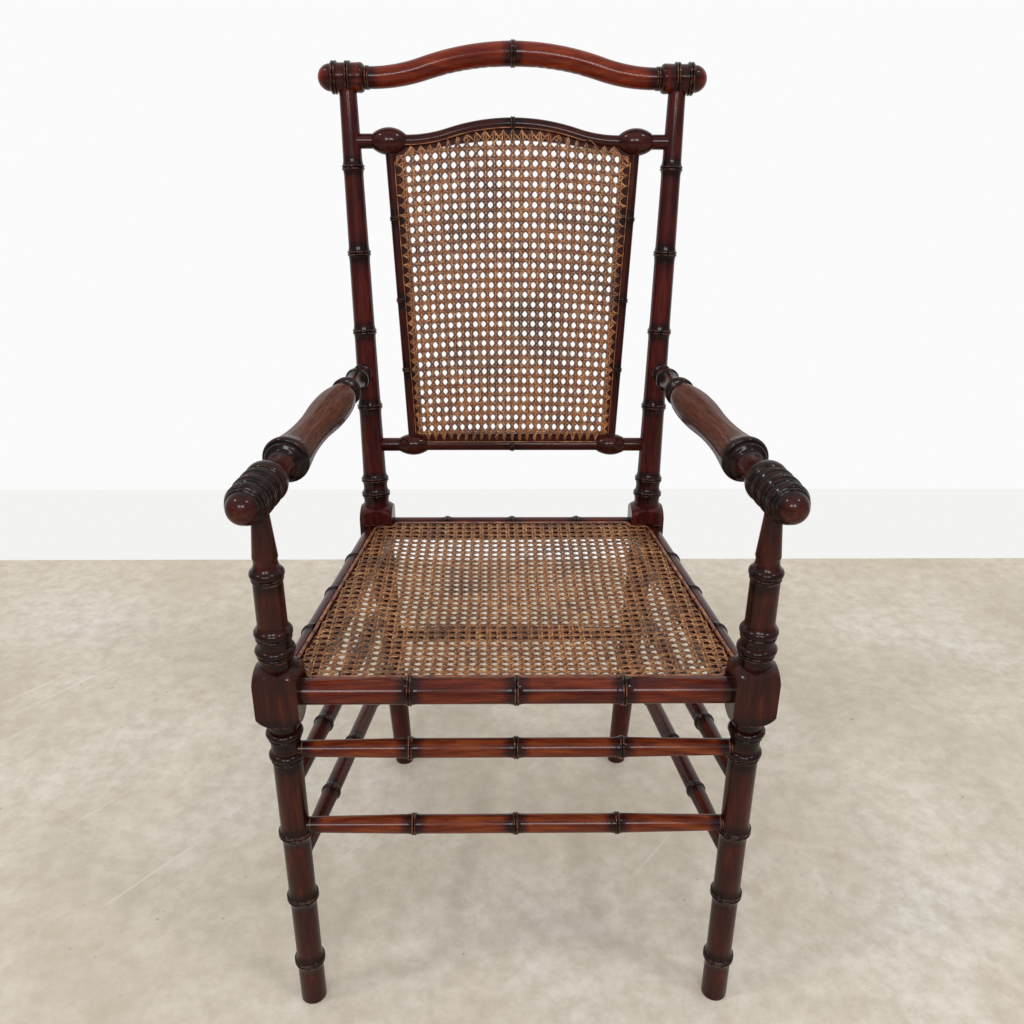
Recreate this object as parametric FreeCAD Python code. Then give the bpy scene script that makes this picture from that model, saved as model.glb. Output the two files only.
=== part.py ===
import FreeCAD, Part
import math
import os
from collections import namedtuple
from FreeCAD import Placement, Rotation, Vector

# A cane armchair in dark polished wood, turned to look like bamboo. Millimetres, +Z up, front towards -Y.
# Every piece is first made about the front legs' line, Y = 0, and moved to the part's origin at the end.

UP = Vector(0, 0, 1)
ACROSS = Vector(1, 0, 0)

# The plan of the frame
front_leg_spread = 491.0        # between the axes of the front legs
rear_post_spread = 383.6        # between the axes of the rear posts at their bend
rear_foot_spread = 351.4        # between the axes of the rear posts on the floor
crest_spread = 419.4            # between the axes of the rear posts at the crest rail
seat_depth = 412.0              # from the front legs' axes to the bend of the rear posts
rear_foot_kick = 37.0           # how far the rear feet stand behind the bend
back_rake = 8.0                 # degrees that the back leans from upright

# The heights of the frame
bend_height = 455.0
cane_bed_height = 451.0         # top of the ledges that the seat cane lies on
front_rail_height = 443.0
side_rail_height = 441.0
rear_rail_height = 441.0
upper_front_stretcher_height = 370.0
lower_front_stretcher_height = 266.0
upper_side_stretcher_height = 317.0
lower_side_stretcher_height = 212.0
rear_stretcher_height = 254.0
arm_height = 664.0
crest_reach = 580.0             # from the bend up the back to the crest rail's ends
back_top_drop = 75.2            # from the crest rail's ends down to the ends of the back's top rail
back_bottom_reach = 107.5

# How the pieces are fitted
joint_clearance = 0.15          # all round a tenon in its socket
socket_relief = 1.0             # left beyond the end of a tenon
overrun = 40.0                  # how far a cutting tool passes the surface it cuts
tiny = 0.000001                 # nearer than this, two points are one

# The lips of the bamboo joints
Lips = namedtuple("Lips", "flare lip groove")
leg_lips = Lips(flare=8.5, lip=4.2, groove=1.5)
post_lips = Lips(flare=6.5, lip=3.3, groove=1.3)
rail_lips = Lips(flare=6.0, lip=2.7, groove=1.2)
flare_hollow_share = 0.22       # how far a flare's middle draws in, against its rise

# The front legs: turned below and above a square block
leg_diameter = 30.0
foot_chamfer = 1.5
block_side = 45.0
block_foot_height = 409.0
block_head_height = 477.0
block_shoulder = 14.0
block_neck_diameter = 35.0
block_bow_share = 0.16          # swell of the block's rounded shoulders against their length
cushion_width = 9.0
cushion_fillet = 3.6            # the thin bead under each cushion ring
leg_tip_diameter = 18.0
leg_tip_reach = 4.0             # how far the leg's tip passes the middle of the arm
# Joints below the block: height as a share of the block's foot, crown and shaft as shares of the leg
leg_joint_shares = ((0.154, 1.20, 0.99), (0.399, 1.21, 1.02), (0.631, 1.25, 1.05))
leg_low_cushion_shares = ((0.873, 1.27), (0.941, 1.32))
# Rings above the block: height as a share of the way from the block's head to the arm
leg_high_cushion_shares = ((0.052, 1.38), (0.162, 1.32))
leg_high_waist_share = 1.02
leg_arm_ring_shares = (0.516, 1.17)
leg_arm_flare_shares = (0.654, 0.85)

# The rear posts
rear_leg_foot_diameter = 28.0
rear_leg_top_diameter = 37.0
post_diameter = 32.0
post_tip_diameter = 22.3
post_tip_reach = 1.5            # how far the post's tip passes the middle of the crest rail's end
# Joints up the post: reach as a share of the crest's, then crown, shaft below and shaft above
post_joint_shares = (
    (0.0640, 1.24, 1.08, 1.03),
    (0.1005, 1.19, 1.03, 1.00),
    (0.2788, 1.08, 0.94, 0.935),
    (0.4547, 1.01, 0.885, 0.87),
    (0.6310, 0.97, 0.845, 0.83),
    (0.8154, 0.92, 0.785, 0.77),
)

# The seat rails: a turned rod outside and a flat ledge for the cane inside
front_rail_diameter = 28.0
side_rail_diameter = 25.0
rear_rail_diameter = 28.0
seat_rail_crown_rise = 2.2      # how far the lips stand above the rod
seat_tenon_diameter = 16.0
seat_tenon_length = 12.0
side_rail_outset = 2.5          # how far outside the rear post's axis the side rail ends
front_ledge_width = 15.5        # from the rod's axis inwards
ledge_width = 32.0              # the same at the sides and the rear
ledge_thickness = 15.0
# Joints along the rails and stretchers: shares of the clear length
rail_joint_shares = (0.25, 0.5, 0.75)
rear_rail_joint_shares = (0.2275, 0.5, 0.7725)
stile_joint_shares = (0.245, 0.5, 0.787)

# The stretchers
front_stretcher_diameter = 21.0
side_stretcher_diameter = 20.5
rear_stretcher_diameter = 20.5
stretcher_end_share = 0.84
stretcher_crown_rise = 1.9
stretcher_stop = 3.0            # from a tenon's tip to the axis of its leg
stretcher_tenon_depth = 16.5

# The arms, turned along their length from the post to the ball
arm_outset = 3.0                # how far outside the axes of its leg and post an arm runs
arm_tenon_diameter = 17.0
arm_tenon_stop = 3.0            # from the tenon's tip to the post's axis
arm_tenon_depth = 12.0
arm_collar_reach = 39.0         # from the post's axis to the first ring
arm_collar_diameter = 30.0
arm_waist_hollow = 3.2          # how far the shaft between the two rings draws in
arm_ring_reach = 103.0          # from the post's axis to the double ring
arm_ring_diameter = 38.0
arm_neck_diameter = 29.0
pad_rear_reach = 326.0          # from the leg's axis to the rear end of the arm pad
pad_front_reach = 92.0
pad_diameter = 50.5
pad_rear_diameter = 50.0
pad_waist_diameter = 43.0
pad_shoulder = 22.0             # length of the pad's rounded rear end
pad_shoulder_bow = 3.6
pad_nose = 7.0                  # length of its rounded front end
pad_nose_bow = 1.6
pad_lip_diameter = 40.0         # the step turned on the pad's front end
pad_lip_width = 5.0
pad_ridge = 19.5                # height of the pad's top ridge above its axis
pad_eave = 8.5                  # height of its top at the widest point
neck_diameter = 25.0
barrel_rear_reach = 64.0
barrel_front_reach = 27.0       # in front of the leg's axis
barrel_end_diameter = 36.0
barrel_diameter = 44.0
neck_hollow = 1.6
barrel_ring_count = 4
barrel_shoulder_share = 0.7     # the barrel's rear shoulder against one of its bands
barrel_shoulder_bow = 2.5
barrel_reed_depth = 2.2
barrel_lip_width = 4.4
barrel_fall_shares = (0.45, 0.0, 0.0, 0.35)     # how far each band falls short of the full diameter
ball_diameter = 33.0
arm_tip_reach = 47.0            # from the leg's axis to the tip of the ball

# The crest rail
crest_half_run = 181.5          # from the middle to the collar at the knob
crest_rise = 28.5
crest_turn_share = 0.38         # where along the half run the curve changes hand
crest_end_diameter = 26.5
crest_middle_diameter = 30.0
crest_crown_rise = 1.6
collar_diameter = 29.0
knob_inner_reach = 187.5
knob_outer_reach = 246.5
knob_shoulder = 6.0
knob_diameter = 36.0
knob_ring_diameter = 40.0
knob_ring_width = 3.2
knob_ring_gap = 0.5             # the fine groove between the two rings of a pair
knob_waist_diameter = 35.0
knob_dome_diameter = 33.0
knob_dome_share = 0.27          # share of the knob's length taken by its domed end
# The two pairs of rings: places as shares of the knob's length from its inner end
knob_ring_shares = (0.35, 0.64)

# The panel of the back
back_dowel_diameter = 18.5
back_dowel_stop = 3.5
top_bulb_reach = 158.0          # from the middle to the centre of the bulb
top_bulb_length = 44.0
top_bulb_diameter = 35.5
bottom_bulb_reach = 137.0
bottom_bulb_length = 40.0
bottom_bulb_diameter = 31.0
back_rail_diameter = 16.5
back_stile_diameter = 14.0
back_crown_rise = 1.4
back_rail_rise = 21.0           # how far the top rail's middle stands above its ends
back_turn_share = 0.40          # where along the half run its curve changes hand
stile_sink = 9.0                # how deep a stile stands in its bulb
back_top_ledge_width = 19.4     # from the rod's axis inwards, at its middle
back_bottom_ledge_width = 16.1
back_ledge_fall = 20.0          # how far the top ledge's lower edge falls from its middle to its ends
stile_ledge_top_width = 19.0    # the ledge on the stiles narrows downwards
stile_ledge_bottom_width = 13.5
back_ledge_thickness = 9.0

# The cane
cane_thickness = 1.3
cane_front_setback = 8.0        # from the front rail's axis
cane_rear_setback = 9.0         # from the rear rail's axis
cane_side_front_setback = 1.0   # from the side rail's axis at the front legs
cane_side_rear_setback = 2.5    # from the side rail's axis at the rear posts
cane_gap = 0.3                  # between the cane and the wood beside it
cane_stile_setback = 6.0        # from the axes of the back's stiles
cane_back_rail_setback = 7.4    # from the axes of the back's rails
cane_opening_pitch = 24.5
cane_opening_size = 15.0
cane_border = 12.0              # unpierced edge
seat_column_pitch = 12.1        # between the holes of the front and rear rails
seat_row_pitch = 11.6           # between the holes of the side rails
back_top_hole_pitch = 11.85
back_bottom_hole_pitch = 10.55  # closer than at the top, so the columns of cane fan out upwards
back_side_hole_pitch = 12.55
back_side_hole_rise = 17.1      # from the bottom rail's axis to the lowest hole of a stile
back_side_hole_count = 29
back_hole_count = 23            # holes along the top rail, and along the bottom rail
caning_hole_diameter = 3.2
caning_hole_inset = 3.5         # from the edge of the cane to the row of holes
binder_width = 5.0
binder_thickness = 1.0
binder_inset = 1.0


def ball_radius(rim_radius, rise):
    """The radius of the ball of which a dome is a part."""
    return (rim_radius ** 2 + rise ** 2) / (2 * rise)


class Turning:
    """The half outline of a piece turned about an upright axis, drawn upwards from its lower end."""

    def __init__(self, height, diameter):
        self.foot = Vector(0, 0, height)
        self.here = Vector(diameter / 2, 0, height)
        self.edges = [Part.LineSegment(self.foot, self.here).toShape()]

    def straight(self, height, diameter):
        """A cylinder, a cone or, at one height, a flat shoulder."""
        there = Vector(diameter / 2, 0, height)
        if there.isEqual(self.here, tiny):
            return
        self.edges.append(Part.LineSegment(self.here, there).toShape())
        self.here = there

    def curve(self, height, diameter, bow):
        """A round stretch whose middle stands out from its chord by bow."""
        there = Vector(diameter / 2, 0, height)
        chord = there - self.here
        outward = Vector(chord.z, 0, -chord.x).normalize()
        middle = (self.here + there) / 2 + outward * bow
        edge = Part.Arc(self.here, middle, there) if abs(bow) > tiny else Part.LineSegment(self.here, there)
        self.edges.append(edge.toShape())
        self.here = there

    def bead(self, width, crown):
        """A rounded ring that comes back to the diameter it left."""
        self.curve(self.here.z + width, 2 * self.here.x, crown / 2 - self.here.x)

    def dome(self, height):
        """A rounded end, part of a ball, that closes on the axis."""
        radius = self.here.x
        rise = height - self.here.z
        ball = ball_radius(radius, rise)
        half_turn = math.atan2(radius, ball - rise) / 2
        middle = Vector(ball * math.sin(half_turn), 0, height - ball * (1 - math.cos(half_turn)))
        there = Vector(0, 0, height)
        self.edges.append(Part.Arc(self.here, middle, there).toShape())
        self.here = there

    def solid(self):
        head = Vector(0, 0, self.here.z)
        edges = list(self.edges)
        if self.here.x > 0:
            edges.append(Part.LineSegment(self.here, head).toShape())
        edges.append(Part.LineSegment(head, self.foot).toShape())
        return Part.Face(Part.Wire(edges)).revolve(Vector(0, 0, 0), UP, 360)


def bamboo_joint(turning, middle, crown, before, after, lips):
    """The shaft flares up to two thin lips with a groove between them, and flares down again."""
    neck = crown - 2 * lips.groove
    turning.straight(middle - lips.lip - lips.flare, before)
    turning.curve(middle - lips.lip, neck, -flare_hollow_share * (neck - before) / 2)
    turning.bead(lips.lip, crown)
    turning.bead(lips.lip, crown)
    turning.curve(middle + lips.lip + lips.flare, after, -flare_hollow_share * (neck - after) / 2)


def cushion(turning, foot, crown, before):
    """A thin bead with a full rounded ring on it; the shaft comes to before at its foot."""
    rise = crown / 2 - before / 2
    turning.straight(foot, before)
    turning.bead(cushion_fillet, crown - rise)
    turning.bead(cushion_width, crown)


def stand(shape, foot, head):
    """Sets a piece that was made upright at the origin so that its axis runs from foot towards head."""
    placed = shape.copy()
    placed.Placement = Placement(foot, Rotation(UP, head - foot))
    return placed


def rod_between(start, finish, diameter):
    """A plain round rod from one point to another."""
    return Part.makeCylinder(diameter / 2, (finish - start).Length, start, finish - start)


def bore_between(start, finish, diameter):
    """The hole for a rod, with its clearance, run out past both points."""
    along = (finish - start).normalize()
    bore_diameter = diameter + 2 * joint_clearance
    return rod_between(start - along * socket_relief, finish + along * overrun, bore_diameter)


def mirrored(shape):
    """The same piece for the other side of the chair."""
    return shape.mirror(Vector(0, 0, 0), ACROSS)


def fused(shapes):
    """Several overlapping shapes joined into one solid."""
    whole = shapes[0].multiFuse(shapes[1:]) if len(shapes) > 1 else shapes[0]
    return whole.removeSplitter()


def square_block(foot_height, head_height):
    """A square left in the turning, with rounded shoulders where the lathe ran into its corners."""
    corner = block_side * math.sqrt(2)
    profile = Turning(foot_height, block_neck_diameter)
    profile.curve(foot_height + block_shoulder, corner, block_bow_share * block_shoulder)
    profile.straight(head_height - block_shoulder, corner)
    profile.curve(head_height, block_neck_diameter, block_bow_share * block_shoulder)
    corner_point = Vector(-block_side / 2, -block_side / 2, foot_height)
    square = Part.makeBox(block_side, block_side, head_height - foot_height, corner_point)
    return square.common(profile.solid())


# The places that several pieces share; the left side is made first, and mirrored
front_axis = Vector(-front_leg_spread / 2, 0, 0)
rear_bend = Vector(-rear_post_spread / 2, seat_depth, bend_height)
rear_foot = Vector(-rear_foot_spread / 2, seat_depth + rear_foot_kick, 0)
lean = Placement(Vector(0, seat_depth, bend_height), Rotation(ACROSS, 90 - back_rake))


def on_back(across, up, out=0):
    """The place in the chair of a point on the leaning back: across, up from the bend, out to the front."""
    return lean.multVec(Vector(across, up, out))


def leaned(shape):
    """A piece drawn flat, moved on to the leaning back."""
    placed = shape.copy()
    placed.Placement = lean.multiply(placed.Placement)
    return placed


crest_joint = on_back(-crest_spread / 2, crest_reach)
back_top_reach = crest_reach - back_top_drop


def on_front_leg(height):
    return Vector(front_axis.x, front_axis.y, height)


def on_rear_leg(height):
    return rear_foot + (rear_bend - rear_foot) * (height / bend_height)


def on_rear_post(reach):
    """The post's axis at a reach up the back from the bend."""
    return rear_bend + (crest_joint - rear_bend) * (reach / crest_reach)


arm_reach_up = (arm_height - bend_height) / math.cos(math.radians(back_rake))
arm_post_point = on_rear_post(arm_reach_up) - ACROSS * arm_outset
arm_leg_point = on_front_leg(arm_height) - ACROSS * arm_outset


def front_leg_blank():
    """One front leg from the floor to its tip in the arm, before its sockets are bored."""
    leg = Turning(0, leg_diameter - 2 * foot_chamfer)
    leg.straight(foot_chamfer, leg_diameter)
    shaft = leg_diameter
    for height_share, crown_share, shaft_share in leg_joint_shares:
        above = leg_diameter * shaft_share
        middle = block_foot_height * height_share
        bamboo_joint(leg, middle, leg_diameter * crown_share, shaft, above, leg_lips)
        shaft = above
    for height_share, crown_share in leg_low_cushion_shares:
        cushion(leg, block_foot_height * height_share, leg_diameter * crown_share, shaft)
        shaft = block_neck_diameter - cushion_fillet
    leg.straight(block_foot_height, block_neck_diameter)
    leg.straight(block_head_height, block_neck_diameter)
    rise = arm_height - block_head_height
    for height_share, crown_share in leg_high_cushion_shares:
        cushion(leg, block_head_height + rise * height_share, leg_diameter * crown_share, block_neck_diameter)
    waist = leg_diameter * leg_high_waist_share
    leg.curve(leg.here.z + leg_lips.flare, waist, -flare_hollow_share * cushion_fillet)
    ring_share, crown_share = leg_arm_ring_shares
    flare_share, flare_diameter_share = leg_arm_flare_shares
    cushion(leg, block_head_height + rise * ring_share, leg_diameter * crown_share, leg_diameter)
    flare_head = block_head_height + rise * flare_share
    leg.curve(flare_head, leg_diameter * flare_diameter_share, -cushion_fillet / 2)
    leg.straight(arm_height - barrel_diameter / 2, leg_tip_diameter)
    leg.straight(arm_height + leg_tip_reach, leg_tip_diameter)
    blank = fused([leg.solid(), square_block(block_foot_height, block_head_height)])
    return stand(blank, front_axis, front_axis + UP)


def rear_post_blank():
    """One rear leg and back post in a single bent piece, before its sockets are bored."""
    leg_length = (rear_bend - rear_foot).Length
    leg = Turning(-rear_leg_foot_diameter, rear_leg_foot_diameter)
    leg.straight(0, rear_leg_foot_diameter)
    leg.straight(leg_length * block_foot_height / bend_height, rear_leg_top_diameter)
    leg.straight(leg_length, block_neck_diameter)
    post = Turning(0, block_neck_diameter)
    for reach_share, crown_share, below_share, above_share in post_joint_shares:
        bamboo_joint(post, crest_reach * reach_share, post_diameter * crown_share,
                     post_diameter * below_share, post_diameter * above_share, post_lips)
    post.straight(crest_reach - knob_diameter / 2, post_tip_diameter)
    post.straight(crest_reach + post_tip_reach, post_tip_diameter)
    block = square_block(block_foot_height, block_head_height)
    block.translate(Vector(rear_bend.x, rear_bend.y, 0))
    leg = stand(leg.solid(), rear_foot, rear_bend)
    post = stand(post.solid(), rear_bend, crest_joint)
    corner = rear_foot - Vector(overrun, overrun, overrun)
    below_floor = Part.makeBox(2 * overrun, 2 * overrun, overrun, corner)
    return fused([leg, block, post]).cut(below_floor)


def bamboo_rod(length, tenon, end_diameter, diameter, crown_rise, joint_shares):
    """A straight rod with joints along it, thinner at its two ends, which run on as tenons."""
    rod = Turning(0, end_diameter)
    rod.straight(tenon, end_diameter)
    clear = length - 2 * tenon
    for share in joint_shares:
        middle = tenon + clear * share
        bamboo_joint(rod, middle, diameter + 2 * crown_rise, diameter, diameter, rail_lips)
    rod.straight(length - tenon, end_diameter)
    rod.straight(length, end_diameter)
    return rod.solid()


def stretcher(start_axis, finish_axis, diameter):
    """A stretcher between two points on leg axes: its solid, and the bores for its two ends."""
    along = (finish_axis - start_axis).normalize()
    start = start_axis + along * stretcher_stop
    finish = finish_axis - along * stretcher_stop
    end_diameter = diameter * stretcher_end_share
    rod = bamboo_rod((finish - start).Length, stretcher_tenon_depth, end_diameter, diameter,
                     stretcher_crown_rise, rail_joint_shares)
    near = bore_between(start, start + along * stretcher_tenon_depth, end_diameter)
    far = bore_between(finish, finish - along * stretcher_tenon_depth, end_diameter)
    return stand(rod, start, finish), near, far


def seat_rail(start_axis, finish_axis, diameter, joint_shares, ledge_outline, blanks):
    """A seat rail between two blocks: rod and ledge cut to the blocks' faces, and a tenon at each end."""
    along = (finish_axis - start_axis).normalize()
    from_axis = block_side / 2 - seat_tenon_length
    start = start_axis + along * from_axis
    finish = finish_axis - along * from_axis
    length = (finish - start).Length
    rod = bamboo_rod(length, seat_tenon_length, diameter, diameter, seat_rail_crown_rise, joint_shares)
    rod = stand(rod, start, finish)
    corners = [Vector(x, y, cane_bed_height - ledge_thickness) for x, y in ledge_outline]
    ledge = Part.Face(Part.makePolygon(corners + corners[:1])).extrude(UP * ledge_thickness)
    rail = fused([rod, ledge]).cut(Part.makeCompound(blanks))
    rail = max(rail.Solids, key=lambda solid: solid.Volume)
    tenon = along * seat_tenon_length
    near = rod_between(start, start + tenon * 2, seat_tenon_diameter)
    far = rod_between(finish, finish - tenon * 2, seat_tenon_diameter)
    bores = (bore_between(start, start + tenon, seat_tenon_diameter),
             bore_between(finish, finish - tenon, seat_tenon_diameter))
    return fused([rail, near, far]), bores


def arm_blank():
    """One arm, turned along its length, its pad planed to a low ridge; the leg's socket isn't bored yet."""
    length = (arm_leg_point - arm_post_point).Length
    rear = Turning(arm_tenon_stop, arm_tenon_diameter)
    rear.straight(arm_collar_reach - 2 * post_lips.lip, arm_tenon_diameter)
    rear.curve(arm_collar_reach, arm_collar_diameter - post_lips.groove, -flare_hollow_share * post_lips.lip)
    rear.bead(post_lips.lip, arm_collar_diameter)
    rear.curve(arm_ring_reach - post_lips.lip, arm_ring_diameter - 2 * post_lips.groove, -arm_waist_hollow)
    rear.bead(post_lips.lip, arm_ring_diameter)
    rear.bead(post_lips.lip, arm_ring_diameter)
    rear.straight(length - pad_rear_reach, arm_neck_diameter)
    rear.straight(length - pad_rear_reach + pad_shoulder, arm_neck_diameter)

    pad = Turning(length - pad_rear_reach, arm_neck_diameter)
    pad.curve(length - pad_rear_reach + pad_shoulder, pad_rear_diameter, pad_shoulder_bow)
    pad_hollow = (pad_rear_diameter + pad_diameter) / 4 - pad_waist_diameter / 2
    pad.curve(length - pad_front_reach - pad_nose, pad_diameter, -pad_hollow)
    pad.curve(length - pad_front_reach, pad_lip_diameter, pad_nose_bow)
    eave_end = 2 * pad_eave - pad_ridge
    roof = [Vector(-pad_diameter, -pad_diameter, 0), Vector(pad_diameter, -pad_diameter, 0),
            Vector(pad_diameter, eave_end, 0), Vector(0, pad_ridge, 0), Vector(-pad_diameter, eave_end, 0)]
    roof = Part.Face(Part.makePolygon(roof + roof[:1])).extrude(UP * length)

    step_diameter = pad_lip_diameter - pad_lip_width
    front = Turning(length - pad_front_reach - pad_shoulder, step_diameter)
    front.straight(length - pad_front_reach, step_diameter)
    front.bead(pad_lip_width, pad_lip_diameter)
    front.curve(length - (pad_front_reach + barrel_rear_reach) / 2, neck_diameter, -neck_hollow)
    front.curve(length - barrel_rear_reach, barrel_end_diameter - barrel_shoulder_bow, -neck_hollow / 2)
    unit = (barrel_rear_reach + barrel_front_reach) / (barrel_ring_count + barrel_shoulder_share)
    front.curve(front.here.z + unit * barrel_shoulder_share, barrel_end_diameter, barrel_shoulder_bow)
    for count in range(barrel_ring_count):
        crown = barrel_diameter - (barrel_diameter - barrel_end_diameter) * barrel_fall_shares[count]
        band_end = front.here.z + unit - 2 * barrel_lip_width
        front.straight(front.here.z, crown - 2 * barrel_reed_depth)
        front.curve(band_end, crown - 2 * barrel_reed_depth, barrel_reed_depth / 2)
        front.bead(barrel_lip_width, crown)
        front.bead(barrel_lip_width, crown)
    front.straight(front.here.z, ball_diameter)
    front.dome(length + arm_tip_reach)

    arm = fused([rear.solid(), pad.solid().common(roof), front.solid()])
    along = (arm_leg_point - arm_post_point).normalize()
    arm.Placement = Placement(arm_post_point, Rotation(UP.cross(along), UP, along, "ZYX"))
    return arm


class Serpentine:
    """The wavy line of a rail: level at its ends and its middle, with two arcs in each half."""

    def __init__(self, half_run, rise, turn_share):
        self.half_run = half_run
        self.rise = rise
        self.angle = 2 * math.atan(rise / half_run)
        radii = half_run / math.sin(self.angle)
        self.low_radius = radii * turn_share
        self.high_radius = radii - self.low_radius
        self.turn = Vector(-half_run * (1 - turn_share), rise * turn_share, 0)

    def height(self, across):
        """How far the line stands above its ends at a distance from the middle."""
        reach = abs(across)
        if reach >= self.half_run:
            return 0
        if reach <= abs(self.turn.x):
            return self.rise - self.high_radius + math.sqrt(self.high_radius ** 2 - reach ** 2)
        return self.low_radius - math.sqrt(self.low_radius ** 2 - (self.half_run - reach) ** 2)

    def left_half(self, base):
        """The two arcs from the left end, at height base, to the middle."""
        end = Vector(-self.half_run, 0, 0)
        top = Vector(0, self.rise, 0)
        low_half = Vector(-self.half_run + self.low_radius * math.sin(self.angle / 2), 0, 0)
        low_half.y = self.low_radius * (1 - math.cos(self.angle / 2))
        high_half = Vector(-self.high_radius * math.sin(self.angle / 2), 0, 0)
        high_half.y = self.rise - self.high_radius * (1 - math.cos(self.angle / 2))
        lift = Vector(0, base, 0)
        low_arc = Part.Arc(end + lift, low_half + lift, self.turn + lift).toShape()
        high_arc = Part.Arc(self.turn + lift, high_half + lift, top + lift).toShape()
        return [low_arc, high_arc]

    def whole(self, base):
        """All four arcs, from the left end to the right."""
        left = self.left_half(base)
        right = [mirrored(edge) for edge in reversed(left)]
        return left + right


def disc_wire(centre, diameter):
    """A round section that faces across the chair."""
    return Part.Wire(Part.makeCircle(diameter / 2, centre, ACROSS))


crest_line = Serpentine(crest_half_run, crest_rise, crest_turn_share)
top_rail_line = Serpentine(top_bulb_reach - top_bulb_length / 2, back_rail_rise, back_turn_share)


def loose_joint(rod_diameter, crown_rise, middle):
    """One bamboo joint made by itself, to stand on the middle of a rail: its ends sink into the rod."""
    sunk = rod_diameter - rail_lips.groove
    ring = Turning(-rail_lips.lip - rail_lips.flare, sunk)
    bamboo_joint(ring, 0, rod_diameter + 2 * crown_rise, sunk, sunk, rail_lips)
    return stand(ring.solid(), middle, middle + ACROSS)


def crest_rail_blank():
    """The crest rail, flat on the back: a tapering serpentine rod with a turned knob at each end."""
    path = Part.Wire(crest_line.left_half(crest_reach))
    end_disc = disc_wire(Vector(-crest_half_run, crest_reach, 0), crest_end_diameter)
    middle_disc = disc_wire(Vector(0, crest_reach + crest_rise, 0), crest_middle_diameter)
    half_rod = path.makePipeShell([end_disc, middle_disc], True, False)

    ring = loose_joint(crest_middle_diameter, crest_crown_rise, Vector(0, crest_reach + crest_rise, 0))

    knob_length = knob_outer_reach - knob_inner_reach
    knob = Turning(crest_half_run - rail_lips.lip, crest_end_diameter - rail_lips.groove)
    knob.straight(crest_half_run, crest_end_diameter - rail_lips.groove)
    knob.straight(crest_half_run, crest_end_diameter)
    knob.bead(rail_lips.lip, collar_diameter)
    knob.bead(rail_lips.lip, collar_diameter)
    knob.straight(knob_inner_reach, crest_end_diameter)
    knob.curve(knob_inner_reach + knob_shoulder, knob_diameter, knob_shoulder / 4)
    for ring_share in knob_ring_shares:
        knob.curve(knob_inner_reach + knob_length * ring_share - knob_ring_width, knob_waist_diameter, 0)
        knob.bead(knob_ring_width, knob_ring_diameter)
        knob.straight(knob.here.z + knob_ring_gap, knob_waist_diameter)
        knob.bead(knob_ring_width, knob_ring_diameter)
    knob.straight(knob_outer_reach - knob_length * knob_dome_share, knob_dome_diameter)
    knob.dome(knob_outer_reach)
    root = Vector(0, crest_reach, 0)
    knob = stand(knob.solid(), root, root - ACROSS)
    return leaned(fused([half_rod, mirrored(half_rod), ring, knob, mirrored(knob)]))


def post_reach_across(up):
    """How far from the middle the rear post's axis stands, at a height up the back."""
    return (rear_post_spread + (crest_spread - rear_post_spread) * up / crest_reach) / 2


def bulb_and_dowel(up, bulb_reach, bulb_length, bulb_diameter):
    """The turned end of a back rail, flat on the back: an oval bulb, and the dowel that enters the post."""
    bulb = Turning(bulb_reach - bulb_length / 2, back_rail_diameter - rail_lips.groove)
    bulb.curve(bulb_reach + bulb_length / 2, back_dowel_diameter, (bulb_diameter - back_dowel_diameter) / 2)
    bulb.straight(post_reach_across(up) - back_dowel_stop, back_dowel_diameter)
    root = Vector(0, up, 0)
    return stand(bulb.solid(), root, root - ACROSS)


def dowel_bore(up):
    """The socket in the left post for the dowel of a back rail."""
    tip = on_back(-post_reach_across(up) + back_dowel_stop, up)
    inside = on_back(-post_reach_across(up) + post_diameter, up)
    return bore_between(tip, inside, back_dowel_diameter)


def joint_notch(middle, along, crown):
    """What the cane leaves free round the two lips of a joint."""
    reach = along * (rail_lips.lip + cane_gap)
    return rod_between(middle - reach, middle + reach, crown + 2 * cane_gap)


def plate(outline, thickness):
    """A flat board on the back, centred on the frame's thickness."""
    board = Part.Face(Part.Wire(outline)).extrude(Vector(0, 0, thickness))
    board.translate(Vector(0, 0, -thickness / 2))
    return board


def joined(points):
    """Straight edges through a row of points."""
    return [Part.LineSegment(near, far).toShape() for near, far in zip(points, points[1:])]


def back_top_rail_blank():
    """The back's top rail, flat on the back: serpentine rod, ledge under it, bulbs and dowels at its ends."""
    reach = top_rail_line.half_run
    ends = [Vector(-top_bulb_reach, back_top_reach, 0), Vector(-reach, back_top_reach, 0)]
    lead_in = joined(ends)
    path = Part.Wire(lead_in + top_rail_line.left_half(back_top_reach))
    half_rod = path.makePipeShell([disc_wire(ends[0], back_rail_diameter)], True, False)
    middle = Vector(0, back_top_reach + back_rail_rise, 0)
    low = middle.y - back_top_ledge_width
    inner = top_bulb_reach - stile_ledge_top_width
    left = [Vector(-reach, back_top_reach, 0), Vector(-inner, back_top_reach, 0),
            Vector(-inner, low - back_ledge_fall, 0)]
    right = [mirrored_point(point) for point in left]
    lower_edge = Part.Arc(left[-1], Vector(0, low, 0), right[-1]).toShape()
    edges = top_rail_line.whole(back_top_reach) + joined(left) + joined(right) + [lower_edge]
    ledge = plate(Part.__sortEdges__(edges), back_ledge_thickness)
    bulb = bulb_and_dowel(back_top_reach, top_bulb_reach, top_bulb_length, top_bulb_diameter)
    ring = loose_joint(back_rail_diameter, back_crown_rise, middle)
    return fused([half_rod, mirrored(half_rod), ledge, ring, bulb, mirrored(bulb)])


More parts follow.
